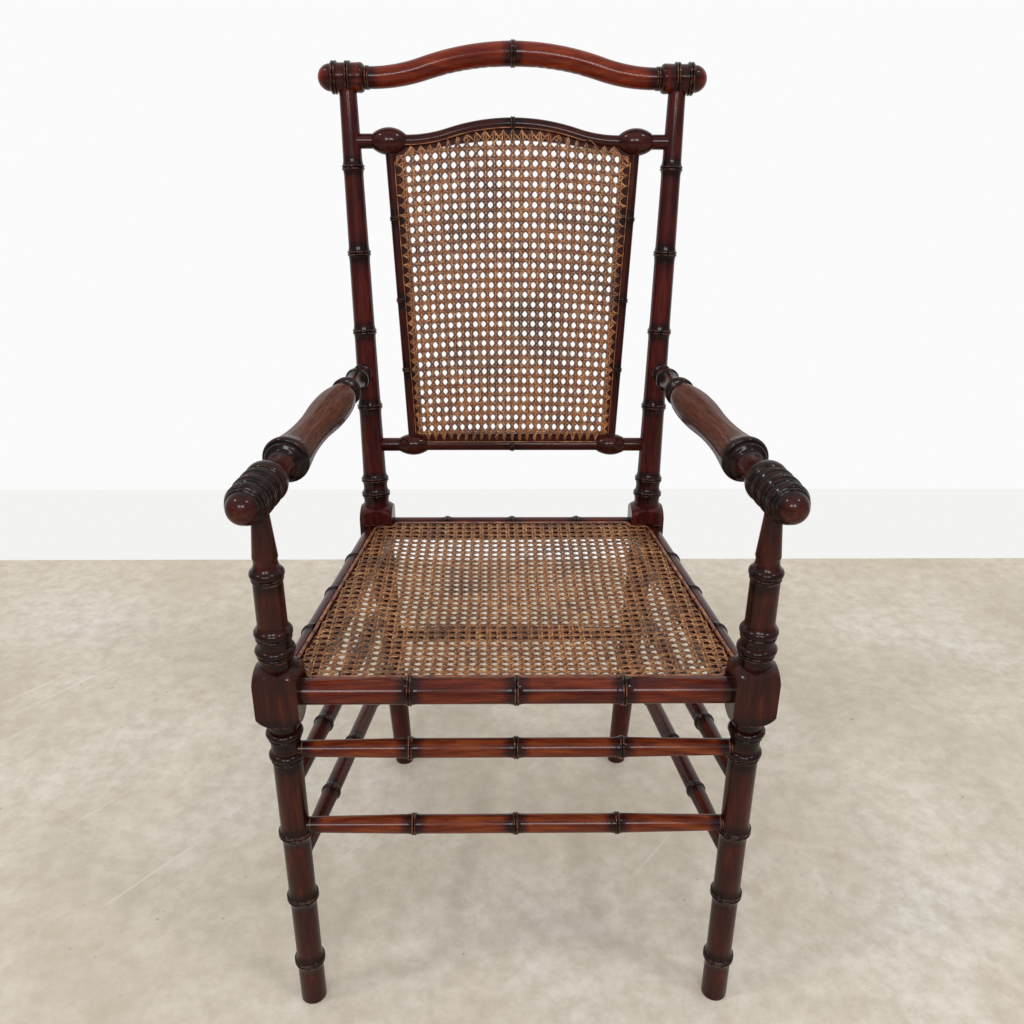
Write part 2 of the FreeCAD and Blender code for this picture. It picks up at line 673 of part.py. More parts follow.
def back_bottom_rail_blank():
    """The back's bottom rail, flat on the back: a straight rod with a ledge above it, bulbs and dowels."""
    reach = bottom_bulb_reach
    start = Vector(-reach, back_bottom_reach, 0)
    rod = rod_between(start, mirrored_point(start), back_rail_diameter)
    inner = reach - stile_ledge_bottom_width
    high = back_bottom_reach + back_bottom_ledge_width
    corners = [Vector(-inner, back_bottom_reach, 0), Vector(inner, back_bottom_reach, 0),
               Vector(inner, high, 0), Vector(-inner, high, 0)]
    ledge = plate(joined(corners + corners[:1]), back_ledge_thickness)
    bulb = bulb_and_dowel(back_bottom_reach, bottom_bulb_reach, bottom_bulb_length, bottom_bulb_diameter)
    ring = loose_joint(back_rail_diameter, back_crown_rise, Vector(0, back_bottom_reach, 0))
    return fused([rod, ledge, ring, bulb, mirrored(bulb)])


def mirrored_point(point):
    """The matching point on the other side of the chair."""
    return Vector(-point.x, point.y, point.z)


stile_top = Vector(-top_bulb_reach, back_top_reach, 0)
stile_bottom = Vector(-bottom_bulb_reach, back_bottom_reach, 0)
stile_along = (stile_top - stile_bottom).normalize()
stile_tip_top = stile_top - stile_along * (top_bulb_diameter / 2 - stile_sink)
stile_tip_bottom = stile_bottom + stile_along * (bottom_bulb_diameter / 2 - stile_sink)


def back_stile(rails):
    """The left stile, flat on the back: a jointed rod with a ledge on its inner side, cut to both rails."""
    length = (stile_tip_top - stile_tip_bottom).Length
    diameter = back_stile_diameter
    rod = bamboo_rod(length, stile_sink, diameter, diameter, back_crown_rise, stile_joint_shares)
    rod = stand(rod, stile_tip_bottom, stile_tip_top)
    corners = [stile_bottom, stile_bottom + ACROSS * stile_ledge_bottom_width,
               stile_top + ACROSS * stile_ledge_top_width, stile_top]
    ledge = plate(joined(corners + corners[:1]), back_ledge_thickness).cut(Part.makeCompound(rails))
    ledge = max(ledge.Solids, key=lambda solid: solid.Volume)
    return fused([rod, ledge])


side_rail_start = Vector(front_axis.x, 0, side_rail_height)
side_rail_finish = Vector(rear_bend.x - side_rail_outset, seat_depth, side_rail_height)


def side_axis_across(depth):
    """How far from the middle the side rail's axis stands, at a distance behind the front legs."""
    share = depth / seat_depth
    return -(side_rail_start.x + (side_rail_finish.x - side_rail_start.x) * share)


# The seat cane's edges, notched round the blocks of the legs and the posts
cane_front = cane_front_setback
cane_rear = seat_depth - cane_rear_setback
front_notch_depth = block_side / 2 + cane_gap
front_notch_half = (front_leg_spread - block_side) / 2 - cane_gap
rear_notch_depth = seat_depth - block_side / 2 - cane_gap
rear_notch_half = (rear_post_spread - block_side) / 2 - cane_gap


def seat_side_edge(depth):
    """Half the seat cane's width between its notches, at a distance behind the front legs."""
    share = depth / seat_depth
    setback = cane_side_front_setback + (cane_side_rear_setback - cane_side_front_setback) * share
    return side_axis_across(depth) - setback


def seat_half_width(depth):
    """Half the seat cane's width at a distance behind the front legs."""
    if depth < front_notch_depth:
        return front_notch_half
    if depth > rear_notch_depth:
        return rear_notch_half
    return seat_side_edge(depth)


def back_half_width(up):
    """Half the back cane's width at a height up the back."""
    share = (up - back_bottom_reach) / (back_top_reach - back_bottom_reach)
    return bottom_bulb_reach + (top_bulb_reach - bottom_bulb_reach) * share - cane_stile_setback


def back_top_edge(across):
    """The height up the back of the back cane's top edge."""
    return back_top_reach + top_rail_line.height(across) - cane_back_rail_setback


def octagon(x, y, z):
    """One opening of the cane: a square with its corners cut off."""
    half = cane_opening_size / 2
    cut = half * math.tan(math.pi / 8)
    around = ((half, cut), (cut, half), (-cut, half), (-half, cut),
              (-half, -cut), (-cut, -half), (cut, -half), (half, -cut))
    corners = [Vector(x + dx, y + dy, z) for dx, dy in around]
    return Part.makePolygon(corners + corners[:1])


def grid(first, last, pitch):
    """Evenly spaced places from first to last, centred between them."""
    count = int((last - first) / pitch)
    start = (first + last - count * pitch) / 2
    return [start + pitch * step for step in range(count + 1)]


def opening_places(low, high, widest, fits):
    """The centres of the openings that fit: rows from low to high, columns out to widest."""
    margin = cane_border + cane_opening_size / 2
    rows = grid(low + margin, high - margin, cane_opening_pitch)
    columns = grid(-widest, widest, cane_opening_pitch)
    return [(x, y) for y in rows for x in columns if fits(abs(x) + margin, y, margin)]


def pierced(outline, places, z):
    """A thin sheet of cane with its openings, standing on the height z."""
    openings = [octagon(x, y, z) for x, y in places]
    face = Part.makeFace([Part.Wire(outline)] + openings, "Part::FaceMakerBullseye")
    return face.extrude(UP * cane_thickness)


def seat_corners(z):
    """The corners of the seat cane, round from the front left."""
    left = [Vector(-front_notch_half, cane_front, z),
            Vector(-front_notch_half, front_notch_depth, z),
            Vector(-seat_side_edge(front_notch_depth), front_notch_depth, z),
            Vector(-seat_side_edge(rear_notch_depth), rear_notch_depth, z),
            Vector(-rear_notch_half, rear_notch_depth, z),
            Vector(-rear_notch_half, cane_rear, z)]
    return left + [mirrored_point(point) for point in reversed(left)]


def seat_rebate():
    """The room above the rails' ledges that the cane lies in, with its clearance all round."""
    corners = seat_corners(cane_bed_height)
    edge = Part.makePolygon(corners + corners[:1]).makeOffset2D(cane_gap, 2)
    return Part.Face(edge).extrude(UP * overrun)


def seat_cane():
    """The woven seat: a flat sheet with openings, laid on the rails' ledges."""
    def fits(reach, depth, margin):
        return reach < min(seat_half_width(depth - margin), seat_half_width(depth + margin))
    corners = seat_corners(cane_bed_height)
    places = opening_places(cane_front, cane_rear, front_notch_half, fits)
    return pierced(joined(corners + corners[:1]), places, cane_bed_height)


def seat_binder():
    """The wide strip of cane that covers the row of holes round the seat."""
    corners = seat_corners(cane_bed_height + cane_thickness)
    edge = Part.makePolygon(corners + corners[:1])
    outer = edge.makeOffset2D(-binder_inset, 2)
    inner = edge.makeOffset2D(-binder_inset - binder_width, 2)
    return Part.makeFace([outer, inner], "Part::FaceMakerBullseye").extrude(UP * binder_thickness)


def back_cane(notches):
    """The woven back: a sheet with openings on the ledges' front, cut clear of the bulbs at its corners."""
    def fits(reach, up, margin):
        top = min(back_top_edge(reach), back_top_edge(reach - margin))
        return reach < back_half_width(up - margin) and up + margin < top
    front = back_ledge_thickness / 2
    low = back_bottom_reach + cane_back_rail_setback
    half_top = back_half_width(back_top_reach)
    shoulder = back_top_edge(half_top)
    left = [Vector(-top_rail_line.half_run, shoulder, 0), Vector(-half_top, shoulder, 0),
            Vector(-back_half_width(low), low, 0)]
    right = [mirrored_point(point) for point in reversed(left)]
    top = top_rail_line.whole(back_top_reach - cane_back_rail_setback)
    outline = Part.__sortEdges__(joined(left + right) + top)
    places = opening_places(low, back_top_edge(0), half_top, fits)
    sheet = pierced(outline, places, 0).cut(Part.makeCompound(notches))
    sheet = max(sheet.Solids, key=lambda solid: solid.Volume)
    sheet.translate(Vector(0, 0, front))
    return sheet


def drilled(piece, places, along):
    """A piece with a row of small caning holes, bored through it along one direction."""
    reach = along * overrun
    tools = [rod_between(place - reach, place + reach, caning_hole_diameter) for place in places]
    return piece.cut(Part.makeCompound(tools))


def straddling(middle, reach, pitch):
    """Evenly spaced places either side of a middle, none of them on it and none beyond a reach."""
    count = int(reach / pitch + 1 / 2)
    return [middle + pitch * (step + 1 / 2) for step in range(-count, count)]


def rail_hole_places(depth):
    reach = seat_half_width(depth) - caning_hole_inset
    return [Vector(x, depth, cane_bed_height) for x in straddling(0, reach, seat_column_pitch)]


def side_hole_places():
    middle = (cane_front + cane_rear) / 2
    reach = min(middle - front_notch_depth, rear_notch_depth - middle) - caning_hole_inset
    depths = straddling(middle, reach, seat_row_pitch)
    return [Vector(caning_hole_inset - seat_side_edge(depth), depth, cane_bed_height) for depth in depths]


def hole_row(pitch):
    """The places across the back of one rail's holes."""
    first = -pitch * (back_hole_count - 1) / 2
    return [first + pitch * step for step in range(back_hole_count)]


def top_hole_places():
    return [Vector(x, back_top_edge(x) - caning_hole_inset, 0) for x in hole_row(back_top_hole_pitch)]


def bottom_hole_places():
    low = back_bottom_reach + cane_back_rail_setback + caning_hole_inset
    return [Vector(x, low, 0) for x in hole_row(back_bottom_hole_pitch)]


def stile_hole_places():
    low = back_bottom_reach + back_side_hole_rise
    rows = [low + back_side_hole_pitch * step for step in range(back_side_hole_count)]
    return [Vector(caning_hole_inset - back_half_width(up), up, 0) for up in rows]


pieces = {}


def keep_pair(name, left):
    """Keeps a piece for the left side of the chair, and its mirror image for the right."""
    pieces[name + "_left"] = left
    pieces[name + "_right"] = mirrored(left)


# The uprights, whole, and the seat rails fitted between their blocks
leg_blank = front_leg_blank()
post_blank = rear_post_blank()
both_legs = [leg_blank, mirrored(leg_blank)]
both_posts = [post_blank, mirrored(post_blank)]

front_inner = (front_leg_spread - block_side) / 2
front_outline = ((-front_inner, 0), (front_inner, 0),
                 (front_inner, front_ledge_width), (-front_inner, front_ledge_width))
front_rail_start = on_front_leg(front_rail_height)
front_rail, front_bores = seat_rail(front_rail_start, mirrored_point(front_rail_start), front_rail_diameter,
                                    rail_joint_shares, front_outline, both_legs)

rear_inner = (rear_post_spread - block_side) / 2
ledge_rear = seat_depth - ledge_width
rear_outline = ((-rear_inner, seat_depth), (rear_inner, seat_depth), (rear_inner, ledge_rear),
                (-rear_inner, ledge_rear))
rear_rail_start = Vector(rear_bend.x, seat_depth, rear_rail_height)
rear_rail, rear_bores = seat_rail(rear_rail_start, mirrored_point(rear_rail_start), rear_rail_diameter,
                                  rear_rail_joint_shares, rear_outline, both_posts)

side_outline = ((side_rail_start.x, 0), (side_rail_finish.x, seat_depth),
                (side_rail_finish.x + ledge_width, seat_depth), (side_rail_start.x + ledge_width, 0))
side_rail, side_bores = seat_rail(side_rail_start, side_rail_finish, side_rail_diameter, rail_joint_shares,
                                  side_outline, [leg_blank, post_blank, front_rail, rear_rail])

rebate = seat_rebate()
front_holes = rail_hole_places(cane_front + caning_hole_inset)
rear_holes = rail_hole_places(cane_rear - caning_hole_inset)
pieces["front_seat_rail"] = drilled(front_rail.cut(rebate), front_holes, UP)
pieces["rear_seat_rail"] = drilled(rear_rail.cut(rebate), rear_holes, UP)
keep_pair("side_seat_rail", drilled(side_rail.cut(rebate), side_hole_places(), UP))

# The stretchers
leg_bores = [front_bores[0], side_bores[0]]
post_bores = [rear_bores[0], side_bores[1]]
for name, height in (("upper_front_stretcher", upper_front_stretcher_height),
                     ("lower_front_stretcher", lower_front_stretcher_height)):
    start = on_front_leg(height)
    rod, near, far = stretcher(start, mirrored_point(start), front_stretcher_diameter)
    pieces[name] = rod
    leg_bores.append(near)
for name, height in (("upper_side_stretcher", upper_side_stretcher_height),
                     ("lower_side_stretcher", lower_side_stretcher_height)):
    rod, near, far = stretcher(on_front_leg(height), on_rear_leg(height), side_stretcher_diameter)
    keep_pair(name, rod)
    leg_bores.append(near)
    post_bores.append(far)
start = on_rear_leg(rear_stretcher_height)
rod, near, far = stretcher(start, mirrored_point(start), rear_stretcher_diameter)
pieces["rear_stretcher"] = rod
post_bores.append(near)

# The arms
arm_along = (arm_leg_point - arm_post_point).normalize()
arm_tip = arm_post_point + arm_along * arm_tenon_stop
post_bores.append(bore_between(arm_tip, arm_tip + arm_along * arm_tenon_depth, arm_tenon_diameter))
leg_tip = on_front_leg(arm_height + leg_tip_reach)
leg_socket = bore_between(leg_tip, on_front_leg(arm_height - barrel_diameter / 2), leg_tip_diameter)
keep_pair("arm", arm_blank().cut(leg_socket))

# The crest rail, let on to the tips of the posts
post_along = (crest_joint - rear_bend).normalize()
post_tip = crest_joint + post_along * post_tip_reach
tip_bore = bore_between(post_tip, crest_joint - post_along * knob_diameter / 2, post_tip_diameter)
pieces["crest_rail"] = crest_rail_blank().cut(Part.makeCompound([tip_bore, mirrored(tip_bore)]))

# The panel of the back, drawn flat and then leaned
post_bores += [dowel_bore(back_top_reach), dowel_bore(back_bottom_reach)]
top_rail = back_top_rail_blank()
bottom_rail = back_bottom_rail_blank()
left_stile = back_stile([top_rail, bottom_rail])
sockets = [bore_between(stile_tip_top, stile_tip_top - stile_along * stile_sink, back_stile_diameter),
           bore_between(stile_tip_bottom, stile_tip_bottom + stile_along * stile_sink, back_stile_diameter)]
upper_socket = Part.makeCompound([sockets[0], mirrored(sockets[0])])
lower_socket = Part.makeCompound([sockets[1], mirrored(sockets[1])])
notches = []
for up, reach, length, diameter in ((back_top_reach, top_bulb_reach, top_bulb_length, top_bulb_diameter),
                                    (back_bottom_reach, bottom_bulb_reach, bottom_bulb_length,
                                     bottom_bulb_diameter)):
    inner = Vector(cane_gap + length / 2 - reach, up, 0)
    notch = rod_between(inner, inner - ACROSS * length, diameter + 2 * cane_gap)
    notches += [notch, mirrored(notch)]
rail_crown = back_rail_diameter + 2 * back_crown_rise
for up in (back_top_reach + back_rail_rise, back_bottom_reach):
    notches.append(joint_notch(Vector(0, up, 0), ACROSS, rail_crown))
stile_clear = (stile_tip_top - stile_tip_bottom).Length - 2 * stile_sink
for share in stile_joint_shares:
    middle = stile_tip_bottom + stile_along * (stile_sink + stile_clear * share)
    notch = joint_notch(middle, stile_along, back_stile_diameter + 2 * back_crown_rise)
    notches += [notch, mirrored(notch)]
pieces["back_top_rail"] = leaned(drilled(top_rail.cut(upper_socket), top_hole_places(), UP))
pieces["back_bottom_rail"] = leaned(drilled(bottom_rail.cut(lower_socket), bottom_hole_places(), UP))
stile = drilled(left_stile, stile_hole_places(), UP)
pieces["back_stile_left"] = leaned(stile)
pieces["back_stile_right"] = leaned(mirrored(stile))

# The uprights, bored for everything that stands in them
keep_pair("front_leg", leg_blank.cut(Part.makeCompound(leg_bores)))
keep_pair("rear_post", post_blank.cut(Part.makeCompound(post_bores)))

# The cane
pieces["seat_cane"] = seat_cane()
pieces["seat_binder"] = seat_binder()
pieces["back_cane"] = leaned(back_cane(notches))

# The part's origin is on the floor, in the middle of its length and width
ball = ball_radius(ball_diameter / 2, arm_tip_reach - barrel_front_reach)
front_most = (arm_leg_point + arm_along * (arm_tip_reach - ball)).y - ball
knob_back = on_back(0, crest_reach).y + knob_ring_diameter / 2
crest_back = on_back(0, crest_reach + crest_rise).y + crest_middle_diameter / 2 + crest_crown_rise
to_origin = Vector(0, -(front_most + max(knob_back, crest_back)) / 2, 0)

os.makedirs("parts", exist_ok=True)
for name in sorted(pieces):
    piece = pieces[name]
    solids = piece.Solids
    shape = solids[0] if len(solids) == 1 else piece
    shape = shape.copy()
    shape.translate(to_origin)
    shape.exportStep("parts/" + name + ".step")
    print(name, len(solids), shape.isValid(), round(shape.Volume / 1000, 1))
print("moved to the origin by", round(to_origin.y, 2))
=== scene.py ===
import math

import bpy
import numpy as np
from mathutils import Matrix, Vector


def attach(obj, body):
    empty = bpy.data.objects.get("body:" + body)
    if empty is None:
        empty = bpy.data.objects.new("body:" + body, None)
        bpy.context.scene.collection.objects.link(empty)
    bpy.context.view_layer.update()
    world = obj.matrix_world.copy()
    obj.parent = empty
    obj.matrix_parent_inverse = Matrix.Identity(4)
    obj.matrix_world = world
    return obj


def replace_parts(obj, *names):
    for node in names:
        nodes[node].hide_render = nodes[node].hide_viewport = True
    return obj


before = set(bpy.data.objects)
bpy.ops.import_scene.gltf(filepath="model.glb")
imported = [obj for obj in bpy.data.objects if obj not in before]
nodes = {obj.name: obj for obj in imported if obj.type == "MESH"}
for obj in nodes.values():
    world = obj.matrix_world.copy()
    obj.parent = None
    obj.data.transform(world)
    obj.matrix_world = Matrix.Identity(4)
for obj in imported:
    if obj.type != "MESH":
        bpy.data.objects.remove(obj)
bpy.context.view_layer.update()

# The front legs: mahogany turned on a lathe below and above a square block that the seat rails enter.
# Bamboo joints, pairs of thin lips with a groove between them, are cut into the shafts, and the whole
# is stained dark and french polished. The polish has worn through along the lips.
MM = 0.001
GRAIN_WIDTH = 1.4
GRAIN_LENGTH = 22               # times the grain's width
FIGURE_WIDTH = 9.0              # the broad bands of colour
FIGURE_FLATTENING = 0.15        # their width over their length
PORE_WIDTH = 0.9
RIPPLE_WIDTH = 5.0
LEG_LIP = 4.2                   # the width of one lip of a joint
FRONT_LINE = -233.23            # y of the front legs' axes
GROOVE_DIRT = "#0a0202"
BARE_CREST = "#84523d"


def srgb(code):
    """A hex colour as linear red, green, blue and alpha.

    Each part c gives c / 12.92 below 0.04045, and ((c + 0.055) / 1.055) ** 2.4 above it."""
    parts = [int(code[i:i + 2], 16) / 255 for i in (1, 3, 5)]
    return [c / 12.92 if c <= 0.04045 else ((c + 0.055) / 1.055) ** 2.4 for c in parts] + [1.0]


def add(tree, kind, inputs, out=0, **settings):
    """Adds one node with its settings; inputs are values or other nodes' outputs. Gives back one output."""
    node = tree.nodes.new(kind)
    for name, value in settings.items():
        setattr(node, name, value)
    for name, value in inputs.items():
        if isinstance(value, bpy.types.NodeSocket):
            tree.links.new(value, node.inputs[name])
        else:
            node.inputs[name].default_value = value
    return node.outputs[out] if node.outputs else None


def ramp(tree, factor, stops):
    """A colour ramp through (place, hex colour) stops, from dark places to light ones."""
    output = add(tree, "ShaderNodeValToRGB", {0: factor})
    band = output.node.color_ramp
    while len(band.elements) < len(stops):
        band.elements.new(1.0)
    for element, (place, code) in zip(band.elements, stops):
        element.position = place
        element.color = srgb(code)
    return output


def blank_material(name):
    """A new material whose tree has no nodes yet. Gives back both."""
    material = bpy.data.materials.new(name)
    material.use_nodes = True
    material.node_tree.nodes.clear()
    return material, material.node_tree


def laid_over(tree, colour, pattern, low, high, most, code):
    """A colour with another over it: none where the pattern is low, and the share most where it is high."""
    share = add(tree, "ShaderNodeMapRange", {"Value": pattern, "From Min": low, "From Max": high,
                                             "To Min": 0.0, "To Max": most})
    return add(tree, "ShaderNodeMix", {0: share, 6: colour, 7: srgb(code)}, out=2, data_type="RGBA")


def polished_mahogany(node, axes, tones, glow=0.5, worn=0.5, rubbed=None):
    """French-polished mahogany, turned about one axis or two: each is (foot, head, joints, lip, from height).

    Along the axis, painted shade takes the colour to near black beside a joint, and a painted glow (the
    glow argument) makes it red between two joints. The distance to a joint is the least of |place - joint|,
    and the worn lines lie half a lip from it. Where rubbed gives (from, to, height), the wood above that
    height and between those places is worn dull."""
    material, tree = blank_material("mahogany_" + node)
    place = add(tree, "ShaderNodeTexCoord", {}, out="Object")
    local = None
    distance = None
    for foot, head, joints, lip, from_height in axes:
        foot = Vector(foot) * MM
        head = Vector(head) * MM
        turn = (head - foot).to_track_quat("Z", "Y").to_euler()
        turned = add(tree, "ShaderNodeMapping", {"Vector": place, "Location": foot, "Rotation": turn},
                     vector_type="TEXTURE")
        along = add(tree, "ShaderNodeSeparateXYZ", {0: turned}, out="Z")
        nearest = None
        for joint in joints:
            gap = add(tree, "ShaderNodeMath", {0: along, 1: joint * MM}, operation="SUBTRACT")
            gap = add(tree, "ShaderNodeMath", {0: gap}, operation="ABSOLUTE")
            if nearest is None:
                nearest = gap
            else:
                nearest = add(tree, "ShaderNodeMath", {0: nearest, 1: gap}, operation="MINIMUM")
        if local is None:
            local, distance = turned, nearest
        else:
            height = add(tree, "ShaderNodeSeparateXYZ", {0: place}, out="Z")
            above = add(tree, "ShaderNodeMath", {0: height, 1: from_height * MM}, operation="GREATER_THAN")
            local = add(tree, "ShaderNodeMix", {0: above, 4: local, 5: turned}, out=1, data_type="VECTOR")
            distance = add(tree, "ShaderNodeMix", {0: above, 2: distance, 3: nearest}, data_type="FLOAT")
    lip = axes[0][3] * MM

    # Grain: long fine streaks; figure: bands 9 mm wide and 60 mm long that the light picks out
    drawn = add(tree, "ShaderNodeMapping", {"Vector": local, "Scale": (1, 1, 1 / GRAIN_LENGTH)})
    grain = add(tree, "ShaderNodeTexNoise", {"Vector": drawn, "Scale": 1 / (GRAIN_WIDTH * MM), "Detail": 5.0,
                                             "Roughness": 0.62, "Distortion": 0.2})
    broad = add(tree, "ShaderNodeMapping", {"Vector": local, "Scale": (1, 1, FIGURE_FLATTENING)})
    figure = add(tree, "ShaderNodeTexNoise", {"Vector": broad, "Scale": 1 / (FIGURE_WIDTH * MM),
                                              "Detail": 3.0, "Roughness": 0.5, "Distortion": 0.4})
    shade = add(tree, "ShaderNodeMix", {0: 0.4, 2: figure, 3: grain}, data_type="FLOAT")
    # Painted shade darkens the colour towards each joint, and a painted glow lights it between two joints
    between = add(tree, "ShaderNodeMapRange", {"Value": distance, "From Min": 0.003, "From Max": 0.018,
                                               "To Min": -0.14, "To Max": 0.11 * glow},
                  interpolation_type="SMOOTHSTEP")
    shade = add(tree, "ShaderNodeMath", {0: shade, 1: 0.82, 2: 0.09}, operation="MULTIPLY_ADD")
    shade = add(tree, "ShaderNodeMath", {0: shade, 1: between}, operation="ADD")
    colour = ramp(tree, shade, [(0.26, tones[0]), (0.44, tones[1]), (0.60, tones[2]), (0.80, tones[3])])

    # The groove of a joint holds dark dirt; the crests of its lips are rubbed to bare wood in places
    colour = laid_over(tree, colour, distance, lip * 0.42, lip * 0.18, 1.0, GROOVE_DIRT)
    off_crest = add(tree, "ShaderNodeMath", {0: distance, 1: lip * 0.52}, operation="SUBTRACT")
    off_crest = add(tree, "ShaderNodeMath", {0: off_crest}, operation="ABSOLUTE")
    crest = add(tree, "ShaderNodeMapRange", {"Value": off_crest, "From Min": lip * 0.08,
                                             "From Max": lip * 0.30, "To Min": 1.0, "To Max": 0.0})
    patchy = add(tree, "ShaderNodeTexNoise", {"Vector": local, "Scale": 1 / (7 * MM), "Detail": 2.0})
    patchy = add(tree, "ShaderNodeMapRange", {"Value": patchy, "From Min": 0.42, "From Max": 0.62,
                                              "To Min": 0.0, "To Max": worn})
    bared = add(tree, "ShaderNodeMath", {0: crest, 1: patchy}, operation="MULTIPLY")
    colour = add(tree, "ShaderNodeMix", {0: bared, 6: colour, 7: srgb(BARE_CREST)}, out=2, data_type="RGBA")

    # Polish: glossy, with faint ripples and open pores that break the highlights up
    smear = add(tree, "ShaderNodeTexNoise", {"Vector": broad, "Scale": 1 / (FIGURE_WIDTH * MM),
                                             "Detail": 3.0})
    gloss = add(tree, "ShaderNodeMapRange", {"Value": smear, "From Min": 0.3, "From Max": 0.75,
                                             "To Min": 0.28, "To Max": 0.45})
    lacquer = 0.34
    if rubbed:
        start, end, height = rubbed
        place_z = add(tree, "ShaderNodeSeparateXYZ", {0: place}, out="Z")
        top = add(tree, "ShaderNodeMapRange", {"Value": place_z, "From Min": (height - 3) * MM,
                                               "From Max": (height + 3) * MM, "To Min": 0.0, "To Max": 1.0},
                  interpolation_type="SMOOTHSTEP")
        run = add(tree, "ShaderNodeSeparateXYZ", {0: turned}, out="Z")
        begun = add(tree, "ShaderNodeMapRange", {"Value": run, "From Min": start * MM, "To Min": 0.0,
                                                 "From Max": (start + 14) * MM, "To Max": 0.85})
        ended = add(tree, "ShaderNodeMapRange", {"Value": run, "From Min": (end - 34) * MM, "To Min": 1.0,
                                                 "From Max": end * MM, "To Max": 0.0})
        top = add(tree, "ShaderNodeMath", {0: top, 1: begun}, operation="MULTIPLY")
        top = add(tree, "ShaderNodeMath", {0: top, 1: ended}, operation="MULTIPLY")
        bare = ramp(tree, grain, [(0.3, "#3a2018"), (0.5, "#5a3325"), (0.72, "#7a4a36")])
        colour = add(tree, "ShaderNodeMix", {0: top, 6: colour, 7: bare}, out=2, data_type="RGBA")
        gloss = add(tree, "ShaderNodeMix", {0: top, 2: gloss, 3: 0.5}, data_type="FLOAT")
        lacquer = add(tree, "ShaderNodeMix", {0: top, 2: lacquer, 3: 0.05}, data_type="FLOAT")
    pores = add(tree, "ShaderNodeTexNoise", {"Vector": drawn, "Scale": 1 / (PORE_WIDTH * MM), "Detail": 2.0})
    ripples = add(tree, "ShaderNodeTexNoise", {"Vector": broad, "Scale": 1 / (RIPPLE_WIDTH * MM),
                                               "Detail": 1.0})
    surface = add(tree, "ShaderNodeBump", {"Strength": 0.35, "Distance": 0.0003, "Height": ripples},
                  out="Normal")
    surface = add(tree, "ShaderNodeBump", {"Strength": 0.3, "Distance": 0.0001, "Height": pores,
                                           "Normal": surface}, out="Normal")
    shader = add(tree, "ShaderNodeBsdfPrincipled", {
        "Base Color": colour, "Roughness": gloss, "IOR": 1.5, "Specular IOR Level": 0.06,
        "Coat Weight": lacquer, "Coat Roughness": 0.11, "Normal": surface})
    add(tree, "ShaderNodeOutputMaterial", {"Surface": shader})
    return material


def dress(node, axes, tones, **wear):
    """Gives a CAD node its own mahogany."""
    mesh = nodes[node].data
    mesh.materials.clear()
    mesh.materials.append(polished_mahogany(node, axes, tones, **wear))


RED_TONES = ("#0b0202", "#1d0604", "#38110a", "#602212")
LEG_JOINTS = (63.0, 163.2, 258.1, 359.0, 387.0, 409.5, 488.5, 509.0, 575.0)
for side, x in (("left", -245.5), ("right", 245.5)):
    foot = (x, FRONT_LINE, 0)
    dress("front_leg_" + side, [(foot, (x, FRONT_LINE, 664), LEG_JOINTS, LEG_LIP, 0)], RED_TONES)

# The rear posts: each a single piece of mahogany, a plain tapered leg below a square block and a jointed
# shaft above it that leans back 8 degrees to the crest rail. Their polish is duller and more purple.
POST_JOINTS = (37.1, 58.3, 161.7, 263.7, 366.0, 472.9)
POST_LIP = 3.3
POST_TONES = ("#0d0303", "#210707", "#3e100e", "#642017")
BEND_Y, BEND_Z = 178.77, 455.0  # where a post's axis bends back
for side, sign in (("left", -1), ("right", 1)):
    foot = (sign * 175.7, 215.77, 0)
    bend = (sign * 191.8, BEND_Y, BEND_Z)
    head = (sign * 209.7, 259.49, 1029.36)
    dress("rear_post_" + side, [(foot, bend, (459.0,), POST_LIP, 0),
                                (bend, head, POST_JOINTS, POST_LIP, BEND_Z)], POST_TONES, glow=0.8)

# The seat rails: turned rods with three joints each, tenoned into the blocks, with a flat ledge inside
# that carries the cane. Their upper sides are lit and rubbed, their lower sides nearly black.
ROD_LIP = 2.7
SEAT_RAILS = {                  # each rod's two ends, and its joints' distances from the first
    "front_seat_rail": ((-235.0, FRONT_LINE, 443.0), (235.0, FRONT_LINE, 443.0), (123.5, 235.0, 346.5)),
    "rear_seat_rail": ((-181.3, 178.77, 441.0), (181.3, 178.77, 441.0), (89.0, 181.3, 273.6)),
    "side_seat_rail_left": ((-244.2, -222.8, 441.0), (-195.6, 168.35, 441.0), (104.5, 197.1, 289.6)),
    "side_seat_rail_right": ((244.2, -222.8, 441.0), (195.6, 168.35, 441.0), (104.5, 197.1, 289.6)),
}
RAIL_TONES = ("#0f0302", "#2a0905", "#4f190c", "#7e3516")


def dark_ends(start, finish, joints, hidden):
    """A rod's joints with two more dark places, a hidden length in from its ends, inside its legs."""
    return (hidden,) + joints + (math.dist(start, finish) - hidden,)


for node, (start, finish, joints) in SEAT_RAILS.items():
    tones, worn = (RAIL_TONES, 0.9) if node == "front_seat_rail" else (RED_TONES, 0.5)
    joints = dark_ends(start, finish, joints, 8.0)
    dress(node, [(start, finish, joints, ROD_LIP, 0)], tones, glow=1.0, worn=worn)
